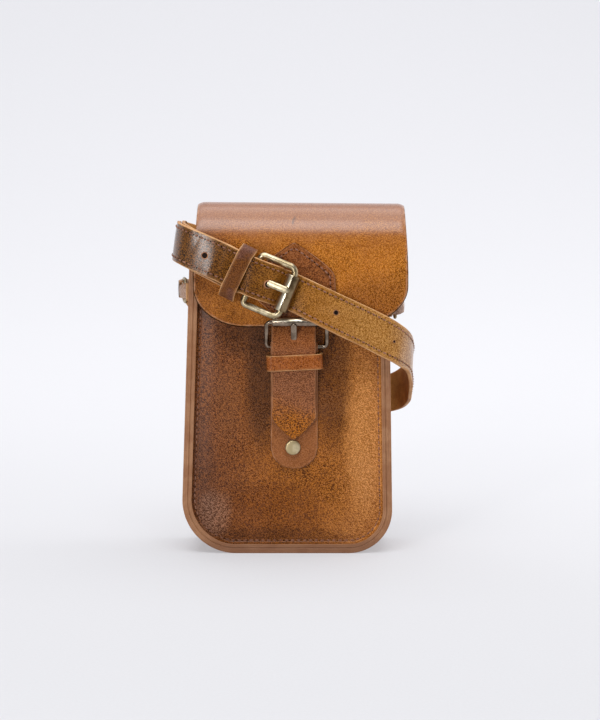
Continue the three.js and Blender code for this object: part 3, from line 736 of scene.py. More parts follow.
class Finish(Enum):
    """Every finish on the bag."""

    FLAP = Leather(
        "flap", (88, 42, 0), (150, 82, 8), (218, 140, 48),
        fades=(
            Fade("X", -18.0, -60.0, (58, 26, 0), (140, 74, 4), 0.85),
            Fade("Z", 150.0, 128.0, (86, 40, 0), (168, 94, 14), 0.5),
            Fade("Z", 172.0, 194.0, (128, 73, 34), (154, 95, 50), 0.9),
        ),
        stains_and_painted_light=(
            StainAndPaintedLight((52.0, 142.0), (30.0, 24.0), (92, 48, 4), (162, 96, 34), 0.6),
            StainAndPaintedLight((3.2, 190.3), (0.9, 2.4), (50, 26, 14), (84, 46, 24), 0.7),
        ),
        polishes=(Polish("Z", 174.0, 191.0, 1.0),),
        coat_roughness=0.28,
        worn=(192, 142, 108),
        worn_share=0.9,
    )
    PANEL = Leather(
        "panel", (56, 24, 0), (104, 52, 2), (190, 114, 32), weft=4.0, slant=-28.0,
        fades=(
            Fade("X", 5.0, -40.0, (58, 26, 8), (142, 81, 37), 0.85),
            Fade("X", 16.0, 48.0, (128, 70, 18), (208, 137, 66), 0.85),
            # darker where the flap hangs over the panel: painted shade
            Fade("Z", 132.0, 150.0, (58, 30, 10), (80, 45, 18), 0.7),
        ),
        stains_and_painted_light=(
            # the next two dark ovals, on both sides of the closure strap, are painted shadows of the strap
            StainAndPaintedLight((26.0, 98.0), (12.0, 46.0), (48, 21, 0), (98, 50, 6), 0.65),
            StainAndPaintedLight((-15.0, 100.0), (11.0, 48.0), (34, 15, 0), (72, 36, 6), 0.7),
            # dark oval just under the flap's lower edge: painted shadow of the flap
            StainAndPaintedLight((-24.0, 124.0), (22.0, 14.0), (36, 16, 0), (80, 43, 14), 0.5),
            StainAndPaintedLight((-33.0, 88.0), (9.0, 28.0), (84, 46, 18), (160, 98, 50), 0.5),
            StainAndPaintedLight((-50.0, 42.0), (13.0, 50.0), (60, 30, 10), (116, 65, 31), 0.65),
            StainAndPaintedLight((-8.0, 22.0), (34.0, 24.0), (70, 31, 0), (144, 77, 8), 0.65),
            StainAndPaintedLight((-10.0, 8.0), (68.0, 9.0), (44, 20, 0), (104, 54, 8), 0.45),
            StainAndPaintedLight((46.0, 66.0), (17.0, 52.0), (158, 98, 40), (226, 156, 88), 0.75),
            # pale oval at the lower-left corner: painted highlight
            StainAndPaintedLight((-42.3, 22.4), (12.0, 17.0), (84, 50, 26), (208, 176, 156), 0.2),
        ),
    )
    # the side loops' pale pinkish-grey tones are a painted highlight standing in for their glossy reflection
    LOOP = Leather(
        "loop", (124, 86, 64), (168, 132, 110), (202, 174, 156), polishes=(Polish("Z", 0.0, 1.0, 1.0),)
    )
    GUSSET = Leather("gusset", (92, 50, 20), (130, 78, 36), (158, 104, 56))
    CLOSURE = Leather(
        "closure", (66, 32, 6), (112, 58, 20), (168, 100, 48),
        fades=(
            Fade("Z", 128.0, 106.0, (96, 54, 28), (168, 106, 66), 0.75),
            Fade("Z", 96.0, 76.0, (76, 36, 0), (190, 110, 12), 0.9),
        ),
        worn_share=0.08,
    )
    TAB = Leather("closure_tab", (100, 54, 18), (134, 77, 35), (164, 103, 57), speck=0.25, worn_share=0.08)
    STRAP = Leather(
        "strap", (66, 34, 0), (118, 69, 10), (182, 121, 44),
        speck=0.3, roughness=0.36, grain=0.05, coat_roughness=0.24, ior=1.14,
        fades=(
            Fade("X", 4.0, -22.0, (32, 16, 0), (128, 76, 6), 0.9),
            Fade("X", 10.0, 50.0, (138, 88, 30), (204, 151, 84), 0.8),
            # paler at the right bend: partly stretched leather, partly a painted highlight
            Fade("X", 62.0, 70.0, (128, 86, 48), (190, 146, 104), 0.5),
        ),
        polishes=(Polish("X", -38.0, -48.0, 1.0), Polish("X", 56.0, 64.0, 1.0)),
    )
    KEEPER = Leather("keeper", (72, 30, 0), (122, 58, 6), (182, 104, 40), speck=0.35)
    DARK_KEEPER = Leather(
        "dark_keeper", (54, 26, 0), (88, 46, 4), (124, 70, 14), roughness=0.36,
        fades=(
            # the paler purplish bands at the keeper's top and bottom are painted reflections
            Fade("Z", 168.0, 173.0, (82, 46, 34), (120, 78, 62), 0.8),
            Fade("Z", 154.0, 150.0, (80, 44, 30), (118, 74, 56), 0.75),
        ),
    )
    # the pouch's rim edges take painted shade towards the floor
    RIM = CutEdge("rim_edge", (164, 116, 78), (147, 97, 59), (106, 64, 36), foot=0.6)
    EDGE = CutEdge("raw_edge", (206, 156, 102), (180, 126, 74), (126, 78, 38))
    DARK_EDGE = CutEdge("dark_edge", (172, 116, 74), (144, 90, 52), (94, 56, 28))
    FLAP_EDGE = CutEdge("flap_edge", (204, 144, 88), (172, 110, 58), (122, 72, 34))
    # flesh side of the straps, paler than the plain flesh side to make up for the shade on their inner side:
    # painted light
    STRAP_BACK = Flesh("strap_back_painted_light", (212, 150, 78), (174, 114, 50))
    FLESH = Flesh("flesh_side", (160, 106, 62), (122, 76, 42))
    THREAD = Thread("thread_look", (158, 114, 92), (116, 78, 62))
    # near-black colour of stitch holes, punched holes and the roller's seam: painted shade
    PINHOLE = Thread("pinhole", (30, 15, 6), (16, 8, 3))
    BRASS = Metal("brass", (196, 182, 152), (154, 138, 106), (84, 68, 46), 0.34)
    PEWTER = Metal("pewter", (146, 130, 114), (112, 98, 84), (60, 50, 42))
    # a lit copy of brass for part of a roller: painted highlight
    POLISHED = Metal("painted_highlight_brass", (232, 224, 204), (206, 194, 168), (120, 104, 80), 0.3)
    RIVET = Metal("rivet_brass", (204, 188, 152), (176, 158, 120), (104, 88, 60), 0.4)
    # a shaded copy of brass for part of a roller: painted shade
    DULL = Metal("painted_shade_brass", (146, 126, 96), (106, 86, 60), (62, 48, 32), 0.3)
    FLOOR = Paper("floor_paper", (158, 158, 160), (148, 148, 151), (196, 196, 200))

    def material(self) -> bpy.types.Material:
        """Give the finish's material, made on first use."""
        return bpy.data.materials.get(f"look_{self.value.name}") or self.value.build()


@dataclass
class Piece:
    """One visible object, its finishes, the frame nodes that it stands for and its record slot."""

    name: str
    shells: list[Shell]
    finishes: tuple[Finish, ...]
    stands_for: tuple[str, ...]
    slot: str

    def build(self) -> bpy.types.Object:
        """Make the object in the scene and tie it to the frame."""
        shell = Shell.joined(self.shells)
        mesh = bpy.data.meshes.new(self.name)
        mesh.from_pydata((shell.points * MM).tolist(), [], shell.quads.tolist())
        mesh.polygons.foreach_set("material_index", shell.finishes.astype(np.int32))
        mesh.polygons.foreach_set("use_smooth", np.ones(len(shell.quads), bool))
        for name, values in shell.values.items():
            attribute = mesh.attributes.new(name, "FLOAT", "POINT")
            attribute.data.foreach_set("value", values.astype(np.float32))
        for finish in self.finishes:
            mesh.materials.append(finish.material())
        mesh.validate()
        made = bpy.data.objects.new(self.name, mesh)
        bpy.context.scene.collection.objects.link(made)
        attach(made, "root")
        if self.stands_for:
            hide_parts(*self.stands_for)
        return made


def leather_piece(
    node: str, shell: Shell, face: Finish, edge: Finish, slot: str,
    back: Finish = Finish.FLESH, name: str = "",
) -> Piece:
    """Make a wall of leather the piece that stands for a node.

    Args:
        node: the frame's node.
        shell: the wall.
        face: finish of its outer side.
        edge: finish of its cut edges.
        slot: its record slot.
        back: finish of its inner side.
        name: start of the piece's name, if it isn't the node's.

    Returns:
        The piece.
    """
    return Piece(f"{name or node}_leather", [shell], (face, edge, back), (node,), slot)


def seam_piece(name: str, shells: list[Shell]) -> Piece:
    """Make runs of stitches a piece."""
    return Piece(f"{name}_seam", shells, (Finish.THREAD, Finish.PINHOLE), (), "thread")


# Stitches


@dataclass
class Stitches:
    """A run of hand-size stitches along a line on a face, each with a pinhole at its ends."""

    pitch: float = 3.4
    length: float = 2.2
    radius: float = 0.45
    lift: float = 0.22
    hole: float = 0.5
    seed: int = 4
    drift: float = 0.12
    tilt: float = 0.1

    def run(self, line: Array, normals: Array) -> Shell:
        """Sew along a line.

        Args:
            line: points on the face.
            normals: the face's outward direction at each point.

        Returns:
            The stitches with finish 0, and their pinholes with finish 1.
        """
        lengths = arc_lengths(line)
        count = max(1, int(lengths[-1] / self.pitch))
        pitch = lengths[-1] / count
        middles = (np.arange(count) + 0.5) * pitch
        rng = np.random.default_rng(self.seed)
        middles = middles + rng.uniform(-self.drift, self.drift, count)
        shells = []
        for place in middles:
            spot = self.frame_at(line, normals, lengths, place)
            shells.append(self.stitch(*spot, rng.uniform(-self.tilt, self.tilt)))
        for place in np.arange(count + 1) * pitch:
            shells.append(self.pinhole(*self.frame_at(line, normals, lengths, place)))
        return Shell.joined(shells)

    @staticmethod
    def frame_at(
        line: Array, normals: Array, lengths: Array, place: float, reach: float = 0.5
    ) -> tuple[Array, Array, Array]:
        """Give the point, the direction along and the direction out at a length along a line."""
        def at(values: Array, where: float) -> Array:
            """Read values at a length."""
            return np.array([np.interp(where, lengths, values[:, axis]) for axis in range(3)])

        along = unit(at(line, place + reach) - at(line, place - reach))
        out = at(normals, place)
        out = unit(out - along * (out @ along))
        return at(line, place), along, out

    def stitch(self, spot: Array, along: Array, out: Array, tilt: float) -> Shell:
        """Make one stitch, bowed up out of the face in its middle."""
        side = np.cross(out, along)
        along = unit(along + side * tilt)
        side = np.cross(out, along)
        share = np.linspace(-1.0, 1.0, 7)
        rise = self.lift * (1 - share**2) - self.radius * 0.9 * np.abs(share) ** 3
        centres = spot + along * (share * self.length / 2)[:, None] + out * rise[:, None]
        half = self.radius * np.sqrt(np.clip(1.05 - 0.75 * share**4, 0.05, 1.0))
        count = len(share)
        return tube(centres, repeated(side, count), repeated(out, count), half, half * 0.85, 7)

    def pinhole(self, spot: Array, along: Array, out: Array) -> Shell:
        """Make the small dimple that a stitch goes into, dark with painted shade."""
        profile = [(0.0, 0.07), (self.hole * 0.7, 0.06), (self.hole, -0.05)]
        return lathe(profile, spot, out, along, 8, finish=1)


# The pouch


@dataclass(frozen=True)
class PouchOutline:
    """The pouch seen from the front: side lines from foot to head and two bottom corners."""

    left_foot: float = -60.3
    left_head: float = -55.4
    left_corner: float = 31.0
    right_foot: float = 60.1
    right_head: float = 57.6
    right_corner: float = 25.0
    head_height: float = 170.0
    half_depth: float = 25.0
    side_steps: int = 56
    corner_steps: int = 26
    base_steps: int = 48

    def side(self, sign: int, z: Array | float) -> Array | float:
        """Give the X of the left (-1) or right (1) side at a height."""
        left = (self.left_foot, self.left_head, self.left_corner)
        right = (self.right_foot, self.right_head, self.right_corner)
        foot, head, corner = left if sign < 0 else right
        share = (z - corner) / (self.head_height - corner)
        return foot + (head - foot) * share

    def samples(self, top: float) -> tuple[Array, Array]:
        """Go from the left head round the base to the right head.

        Args:
            top: height of both ends.

        Returns:
            Points and inward directions, as X and Z.
        """
        left_z = np.linspace(top, self.left_corner, self.side_steps, endpoint=False)
        left_turn = np.radians(np.linspace(180, 270, self.corner_steps, endpoint=False))
        right_turn = np.radians(np.linspace(270, 360, self.corner_steps + 1)[1:])
        right_z = np.linspace(self.right_corner, top, self.side_steps + 1)[1:]
        base_x = np.linspace(
            self.left_foot + self.left_corner, self.right_foot - self.right_corner, self.base_steps + 1
        )
        x = np.concatenate([
            self.side(-1, left_z),
            self.left_foot + self.left_corner * (1 + np.cos(left_turn)),
            base_x,
            self.right_foot - self.right_corner * (1 - np.cos(right_turn)),
            self.side(1, right_z),
        ])
        z = np.concatenate([
            left_z,
            self.left_corner * (1 + np.sin(left_turn)),
            np.zeros(self.base_steps + 1),
            self.right_corner * (1 + np.sin(right_turn)),
            right_z,
        ])
        points = np.stack([x, z], axis=1)
        along = unit(np.gradient(points, axis=0))
        return points, np.stack([-along[:, 1], along[:, 0]], axis=1)


OUTLINE = PouchOutline()


@dataclass
class Panel:
    """The front or back of the pouch: a turned border round a gently domed face.

    Args:
        top: height of its upper edge.
        sign: -1 for the front and 1 for the back.
        lip: share of the turned border at a height.
    """

    top: float
    sign: int
    lip: Callable[[Array], Array]
    wall: float = 2.2
    dome: float = 0.25
    flat_inset: float = 4.0
    border: tuple[Pair, ...] = (
        (5.3, 0.0), (5.34, 1.0), (5.6, 2.1), (6.2, 3.0), (7.3, 3.4),
        (9.0, 3.2), (12.0, 2.6), (16.0, 2.1), (20.0, 1.9),
    )

    def levels(self) -> Array:
        """Give the border's profile as insets and recesses."""
        return catmull(np.array(self.border), 3)

    def level_points(self, inset: float, recess: float, share: float) -> Array:
        """Give the points of one line of the border."""
        outline, inward = OUTLINE.samples(self.top)
        lip = self.lip(outline[:, 1])
        reach = inset - (1 - lip) ** 10 * (self.border[0][0] - self.flat_inset) * (1 - share)
        depth = self.border[-1][1] + (recess - self.border[-1][1]) * lip
        flat = outline + inward * reach[:, None]
        return np.stack([flat[:, 0], self.sign * (OUTLINE.half_depth - depth), flat[:, 1]], axis=1)

    def surface(self) -> tuple[Surface, Array]:
        """Make the outer face.

        Returns:
            The surface, facing out, and the point numbers of its top row from left to right.
        """
        levels = self.levels()
        shares = np.linspace(0.0, 1.0, len(levels))
        border = np.stack([self.level_points(i, r, s) for (i, r), s in zip(levels, shares)])
        last = len(levels) - 1
        samples = border.shape[1]
        legs = OUTLINE.side_steps + OUTLINE.corner_steps
        steps = OUTLINE.base_steps
        at = np.zeros((legs + 1, steps + 1), int)
        at[:, 0] = last * samples + np.arange(legs + 1)
        at[:, steps] = last * samples + samples - 1 - np.arange(legs + 1)
        at[legs] = last * samples + legs + np.arange(steps + 1)
        inner = border.shape[0] * samples + np.arange(legs * (steps - 1))
        at[:legs, 1:steps] = inner.reshape(legs, steps - 1)
        share = (np.arange(1, steps) / steps)[None, :, None]
        left = border[last, :legs, None]
        right = border[last, samples - 1 - np.arange(legs)][:, None]
        inside = left + (right - left) * share
        height = (legs - np.arange(legs)) / legs
        swell = np.sin(np.pi * share[..., 0]) ** 2 * np.sin(np.pi * height)[:, None] ** 2
        inside[..., 1] += self.sign * self.dome * swell
        points = np.vstack([border.reshape(-1, 3), inside.reshape(-1, 3)])
        quads = np.vstack([grid_quads(len(levels), samples), numbered_quads(at.T)])
        left_top = np.arange(len(levels)) * samples
        top_row = np.concatenate([left_top, at[0, 1:steps], left_top[::-1] + samples - 1])
        made = Surface(points, quads)
        return (made if self.sign < 0 else made.flipped()), top_row

    def seam(self, inset: float) -> tuple[Array, Array]:
        """Give a line along the border for its stitches, and the directions out of the face."""
        levels = self.levels()
        recess = float(np.interp(inset, levels[:, 0], levels[:, 1]))
        line = self.level_points(inset, recess, 1.0)
        return line, repeated(self.sign * Y_AXIS, len(line))


@dataclass
class Pouch:
    """Front panel, gusset, and the hide that is both back and flap."""

    front_top: float = 165.0
    back_top: float = 150.0
    lip_fade: float = 30.0
    gusset_top: float = 171.0
    gusset_wall: float = 3.05
    flap_wall: float = 2.0
    arch_radius: float = 25.5
    arch_y: float = -2.5
    arch_z: float = 175.0
    flap_bottom: float = 130.9
    flap_left: float = -53.4
    flap_right: float = 68.5
    corner_left: float = 30.0
    corner_right: float = 34.0
    corner_tall: float = 23.0
    narrow_left: float = 2.0
    narrow_right: float = 1.5
    top_tilt: float = 0.5
    top_sag: float = 1.3
    narrow_span: Pair = (158.0, 200.0)
    sag_start: float = 0.93
    seam_inset: float = 7.0
    edge_radius: float = 0.3
    edge_groove: float = 0.04
    uneven_size: float = 26.0
    uneven: float = 0.5
    even_border: Pair = (4.0, 24.0)
    side_bow: float = 1.4
    bow_half: float = 16.0
    bow_rise: Pair = (31.0, 70.0)
    bow_fall: Pair = (105.0, 130.0)

    def build(self) -> list[Piece]:
        """Make the pouch's pieces."""
        front = Panel(self.front_top, -1, np.ones_like)
        sewn = Stitches(radius=0.38, hole=0.36).run(*front.seam(self.seam_inset))
        return [self.front_piece(front), seam_piece("front", [sewn]), self.gusset_piece(), self.hide_piece()]

    def front_piece(self, front: Panel) -> Piece:
        """Make the front panel, a little uneven."""
        surface, _ = front.surface()
        rim = surface.points[np.unique(surface.rim())]
        inner = ease(nearest(surface.points, rim), *self.even_border)
        surface.points[:, 1] += wobble(surface.points, self.uneven_size, self.uneven) * inner
        shell = surface.wall(front.wall, self.edge_radius, self.edge_groove)
        return leather_piece("front_panel", shell, Finish.PANEL, Finish.RIM, "panel_leather")

    def gusset_piece(self) -> Piece:
        """Make the band round both sides and the base."""
        outline, inward = OUTLINE.samples(self.gusset_top)
        depths = np.linspace(-OUTLINE.half_depth, OUTLINE.half_depth, 26)
        height = outline[:, 1]
        rows = []
        for y in depths:
            across = max(0.0, 1.0 - (y / self.bow_half) ** 2)
            bow = self.side_bow * across * ease(height, *self.bow_rise) * (1.0 - ease(height, *self.bow_fall))
            flat = outline + inward * bow[:, None]
            rows.append(np.stack([flat[:, 0], np.full(len(flat), y), flat[:, 1]], axis=1))
        surface = Surface(np.vstack(rows), grid_quads(len(depths), len(outline))[:, ::-1])
        shell = surface.wall(self.gusset_wall, self.edge_radius, self.edge_groove)
        return leather_piece("gusset", shell, Finish.GUSSET, Finish.RIM, "rim_leather")

    def hide_piece(self) -> Piece:
        """Make the back and the flap, one wall of leather over the mouth."""
        back = Panel(self.back_top, 1, lambda z: 1.0 - ease(z, self.back_top - self.lip_fade, self.back_top))
        surface, top_row = back.surface()
        top = surface.points[top_row]
        shares = 2 * (top[:, 0] - top[0, 0]) / (top[-1, 0] - top[0, 0]) - 1
        rows = []

        def add(y: float, z: float, left: float, right: float) -> None:
            """Add a row across the flap, which narrows towards the top and sags at its ends."""
            narrow = float(ease(z, *self.narrow_span))
            ends = (np.abs(shares) - self.sag_start).clip(0.0) / (1.0 - self.sag_start)
            sag = self.top_tilt * shares + self.top_sag * ends**2
            start = left + self.narrow_left * narrow
            end = right - self.narrow_right * narrow
            x = start + (end - start) * (shares + 1) / 2
            rows.append(np.stack([x, np.full(len(shares), y), z - sag * narrow], axis=1))

        def neck(z: float) -> Pair:
            """Give both sides of the back between the gusset's sides."""
            return OUTLINE.side(-1, z) + back.flat_inset, OUTLINE.side(1, z) - back.flat_inset

        for turn in np.radians(np.linspace(0.0, 90.0, 22)):
            cut = 1 - math.sin(turn)
            add(
                self.arch_y - self.arch_radius,
                self.flap_bottom + self.corner_tall * (1 - math.cos(turn)),
                self.flap_left + self.corner_left * cut,
                self.flap_right - self.corner_right * cut,
            )
        for z in np.linspace(self.flap_bottom + self.corner_tall, self.arch_z, 14)[1:-1]:
            add(self.arch_y - self.arch_radius, z, self.flap_left, self.flap_right)
        neck_left, neck_right = neck(self.arch_z)
        for turn in np.radians(np.linspace(180.0, 0.0, 48)):
            spread = float(ease(turn, math.radians(4.0), math.radians(50.0)))
            add(
                self.arch_y + self.arch_radius * math.cos(turn),
                self.arch_z + self.arch_radius * math.sin(turn),
                neck_left + (self.flap_left - neck_left) * spread,
                neck_right + (self.flap_right - neck_right) * spread,
            )
        for z in np.linspace(self.arch_z, self.back_top, 10)[1:-1]:
            add(self.arch_y + self.arch_radius, z, *neck(z))
        grid = len(surface.points) + np.arange(len(rows) * len(top_row)).reshape(len(rows), -1)
        quads = numbered_quads(np.vstack([grid, top_row[None]]))
        whole = Surface(np.vstack([surface.points, *rows]), np.vstack([surface.quads, quads]))
        shell = whole.wall(self.flap_wall, EDGE_ROUND)
        face, edge = Finish.FLAP, Finish.FLAP_EDGE
        return leather_piece("back_panel_flap", shell, face, edge, "flap_leather", name="flap")


# Strips of leather


@dataclass
class Row:
    """A place on a strap's middle line, its width, its lean and whether it lies square to the buckle."""

    x: float
    y: float
    z: float
    width: float = 22.0
    lean: float = 0.0
    square: bool = False


@dataclass
class Ribbon:
    """A strip of leather along a line.

    Args:
        points: places on its middle line.
        across: direction towards its upper edge at each place.
        widths: its width at each place.
        wall: its thickness.
        raw_low: width of the raw strip along its lower edge.
        raw_high: width of the raw strip along its upper edge.
    """

    points: Array
    across: Array
    widths: Sequence[float]
    wall: float
    raw_low: float = 0.0
    raw_high: float = 0.0
    crown: float = 0.25
    steps: int = 9
    columns: int = 15

    def __post_init__(self) -> None:
        """Sample the middle line and its directions."""
        self.line = catmull(self.points, self.steps)
        along = unit(np.gradient(self.line, axis=0))
        across = np.stack([between(self.across[:, axis], self.steps) for axis in range(3)], axis=1)
        self.out = unit(np.cross(along, across))
        self.side = unit(np.cross(self.out, along))
        self.half = between(self.widths, self.steps) / 2

    def face(self, share: Array, inset: float = 0.0) -> Array:
        """Give the points of the outer face at a share of the half width, less an inset."""
        reach = np.sign(share) * np.maximum(np.abs(share) * self.half - inset, 0.0)
        crown = self.crown * (1 - (reach / np.maximum(self.half, 1e-6)) ** 2)
        lift = self.wall / 2 + crown - self.crown
        return self.line + self.side * reach[:, None] + self.out * lift[:, None]

    def shell(self) -> Shell:
        """Make the strip as a wall with rounded edges."""
        shares = crowded(self.columns)
        grid = np.stack([self.face(np.full(len(self.line), share)) for share in shares], axis=1)
        quads = grid_quads(len(self.line), self.columns)[:, ::-1]
        middles = (shares[1:] + shares[:-1]) / 2
        half = float(np.max(self.half))
        bare = (middles * half < self.raw_low - half) | (middles * half > half - self.raw_high)
        raw = np.tile(bare, len(self.line) - 1)
        return Surface(grid.reshape(-1, 3), quads, raw).wall(self.wall, min(EDGE_ROUND, self.wall * 0.3))

    def seam(self, sign: int, inset: float, start: int, end: int) -> tuple[Array, Array]:
        """Give a line for stitches along an edge.

        Args:
            sign: -1 for the lower edge and 1 for the upper one.
            inset: distance from that edge.
            start: first row of the table.
            end: last row.

        Returns:
            Points on the face and outward directions.
        """
        part = slice(start * self.steps, end * self.steps + 1)
        line = self.face(np.full(len(self.line), float(sign)), inset)
        return line[part], self.out[part]


def upright(rows: Sequence[Row]) -> Rows:
    """Give the middle line, the directions to the upper edge and the widths of an upright strap."""
    points = np.array([(row.x, row.y, row.z) for row in rows])
    steps = (points[1:2] - points[:1], points[2:] - points[:-2], points[-1:] - points[-2:-1])
    along = unit(np.vstack(steps))
    out = unit(np.cross(along, Z_AXIS))
    across = unit(np.cross(out, along))
    lean = -np.radians([row.lean for row in rows])[:, None]
    leaned = across * np.cos(lean) + np.cross(along, across) * np.sin(lean)
    square = np.array([row.square for row in rows])[:, None]
    return points, np.where(square, STRAP_BUCKLE.bar(), leaned), [row.width for row in rows]


def keeper_ring(
    width: float, depth: float, tall: float, wall: float, spot: Sequence[float], tilt: float, bow: float = 0.0
) -> Shell:
    """Make a leather ring round a strap.

    Args:
        width: outer size along the strap's width.
        depth: outer size out of the face.
        tall: height of the ring along the strap.
        wall: thickness of its leather.
        spot: its middle.
        tilt: turn about the Y axis, in degrees.
        bow: how far its middle is pushed along the strap.

    Returns:
        The ring.
    """
    loop, _ = rounded_loop(width, depth, depth * 0.32, depth * 0.32, 9)
    heights = np.linspace(-tall / 2, tall / 2, 7)
    local = np.array([(x, y, z + bow * (1 - (2 * x / width) ** 2)) for z in heights for x, y in loop])
    turned = turned_about_y(local, tilt) + np.array(spot)
    return Surface(turned, grid_quads(len(heights), len(loop), closed=True)).wall(wall, 0.35)


def turned_about_y(points: Array, degrees: float) -> Array:
    """Turn points about the Y axis."""
    c, s = math.cos(math.radians(degrees)), math.sin(math.radians(degrees))
    x, y, z = points[..., 0], points[..., 1], points[..., 2]
    return np.stack([x * c + z * s, y, z * c - x * s], axis=-1)


# Metal


@dataclass(frozen=True)
class Buckle:
    """A roller buckle. In its own frame X runs along the heel bar and the roller lies above it."""

    name: str
    heel: Point
    turn: float
    roller_y: float
    roller_z: float
    width: float
    upper_corner: float
    lower_corner: float
    wire: float
    roller_radius: float
    roller_half: float
    roller_shift: float
    prong_x: float
    prong_half: float
    prong_thick: float
    seam_turn: float
    metal: Finish
    near_half: Finish
    far_half: Finish

    def world(self, points: Array) -> Array:
        """Bring points from the buckle's frame into the bag's."""
        return turned_about_y(points, self.turn) + np.array(self.heel)

    def bar(self) -> Array:
        """Give the direction from the lower to the upper end of the bars of an upright strap's buckle."""
        return turned_about_y(-X_AXIS, self.turn)

    def forward(self) -> Array:
        """Give the direction from the heel bar to the roller, flat on the face."""
        return turned_about_y(Z_AXIS, self.turn)

    def build(self) -> list[Piece]:
        """Make the frame, the roller and the prong."""
        reach = math.hypot(self.roller_y, self.roller_z)
        up = np.array([0.0, self.roller_y, self.roller_z]) / reach
        wire = wire_ring(self.width, reach, self.upper_corner, self.lower_corner, self.wire, X_AXIS, up)
        return [
            self.piece("buckle_frame", [wire], "wire", self.metal),
            self.piece("roller", self.roller(), "turned", self.near_half),
            self.piece("prong", [self.prong()], "bar", self.metal),
        ]

    def piece(self, part: str, shells: list[Shell], word: str, metal: Finish) -> Piece:
        """Bring one of the buckle's parts into the bag's frame and name it as a piece."""
        node = f"{self.name}_{part}"
        placed = [replace(shell, points=self.world(shell.points)) for shell in shells]
        finishes = (metal, Finish.PINHOLE, self.far_half)
        return Piece(f"{node}_{word}", placed, finishes, (node,), "antique_brass")

    def roller(self) -> list[Shell]:
        """Make the roller, a rolled sheet with a toothed seam along it."""
        bore, radius, half, rim = self.wire + 0.25, self.roller_radius, self.roller_half, 0.4
        nip = rim * 0.3
        end = [(radius, half - rim), (radius - nip, half - nip), (radius - rim, half), (bore, half)]
        profile = [(r, -place) for r, place in end[::-1]] + end + [(bore, -half)]
        origin = np.array([self.roller_shift, self.roller_y, self.roller_z])
        body = lathe(profile, origin, X_AXIS, -Y_AXIS, 40)
        middles = body.points[body.quads].mean(axis=1) - origin
        turns = np.degrees(np.arctan2(middles[:, 2], -middles[:, 1]))
        # the part past the seam takes the far-half finish: a painted highlight on the closure's roller; on
        # the strap's roller painted shade, with a painted highlight on the near half
        body.finishes[turns > self.seam_turn] = 2
        # a thin dark line along the seam: painted shade in its gap
        count, tooth, thin = 41, 0.045, 0.16
        places = np.linspace(-half + rim, half - rim, count)
        turn = math.radians(self.seam_turn) + tooth * np.where(np.arange(count) % 4 < 2, 1.0, -1.0)
        out = np.stack([np.zeros(count), -np.cos(turn), np.sin(turn)], axis=1)
        line = origin + X_AXIS * places[:, None] + out * (radius - 0.04)
        flat = np.full(count, thin)
        return [body, tube(line, np.cross(out, X_AXIS), out, flat, flat * 0.6, 6, finish=1)]

    def prong(self) -> Shell:
        """Make the prong: an eye round the heel bar, then a straight run onto the roller."""
        reach = math.hypot(self.roller_y, self.roller_z)
        eye = self.wire + 0.35 + self.prong_thick
        rest = self.roller_radius + GAP + self.prong_thick
        slant = math.atan2(-self.roller_y, self.roller_z) + math.asin((rest - eye) / reach)
        turns = np.linspace(math.radians(-205.0), math.pi / 2 - slant, 14)
        points = np.stack([np.full(14, self.prong_x), -eye * np.sin(turns), -eye * np.cos(turns)], axis=1)
        along = np.array([0.0, -math.sin(slant), math.cos(slant)])
        straight = [points[-1] + along * reach * share for share in (0.35, 0.7, 1.0, 1.07)]
        line = catmull(np.vstack([points, straight]), 4)
        ahead_of = unit(np.gradient(line, axis=0))
        across = repeated(X_AXIS, len(line))
        out = unit(np.cross(ahead_of, across))
        ahead = arc_lengths(line)[-1] - arc_lengths(line)
        blunt = np.sqrt(np.clip(ahead / self.prong_half, 0.02, 1.0))
        return tube(line, across, out, self.prong_half * blunt, self.prong_thick * blunt, 20)


def wire_ring(
    width: float, height: float, upper: float, lower: float, wire: float, across: Array, up: Array
) -> Shell:
    """Make a closed ring of wire whose lower bar is at the origin.

    Args:
        width: size along the bars.
        height: distance from bar to bar.
        upper: radius of the upper corners.
        lower: radius of the lower corners.
        wire: radius of the wire.
        across: direction of the bars.
        up: direction from the lower bar to the upper one.

    Returns:
        The ring.
    """
    loop, outs = rounded_loop(width, height, upper, lower, 12)
    centres = across * loop[:, :1] + up * (loop[:, 1:] + height / 2)
    out = across * outs[:, :1] + up * outs[:, 1:]
    normal = repeated(np.cross(across, up), len(loop))
    radius = np.full(len(loop), wire)
    return tube(centres, normal, out, radius, radius, 18, closed=True)


CLOSURE_BUCKLE = Buckle(
    "closure", heel=(5.3, -27.6, 119.6), turn=0.0, roller_y=-6.0, roller_z=14.5,
    width=34.0, upper_corner=2.4, lower_corner=2.4, wire=1.3,
    roller_radius=2.6, roller_half=14.4, roller_shift=0.7,
    prong_x=-1.6, prong_half=1.7, prong_thick=0.65, seam_turn=8.0,
    # its roller's far half is a painted highlight
    metal=Finish.PEWTER, near_half=Finish.PEWTER, far_half=Finish.POLISHED,
)
STRAP_BUCKLE = Buckle(
    "strap", heel=(-19.6, -36.6, 158.7), turn=112.0, roller_y=-2.3, roller_z=21.2,
    width=29.7, upper_corner=4.0, lower_corner=2.4, wire=1.85,
    roller_radius=3.8, roller_half=10.6, roller_shift=0.0,
    prong_x=-1.6, prong_half=2.0, prong_thick=0.9, seam_turn=-6.0,
    # its roller's near half is a painted highlight and its far half painted shade
    metal=Finish.BRASS, near_half=Finish.POLISHED, far_half=Finish.DULL,
)


# Side anchors


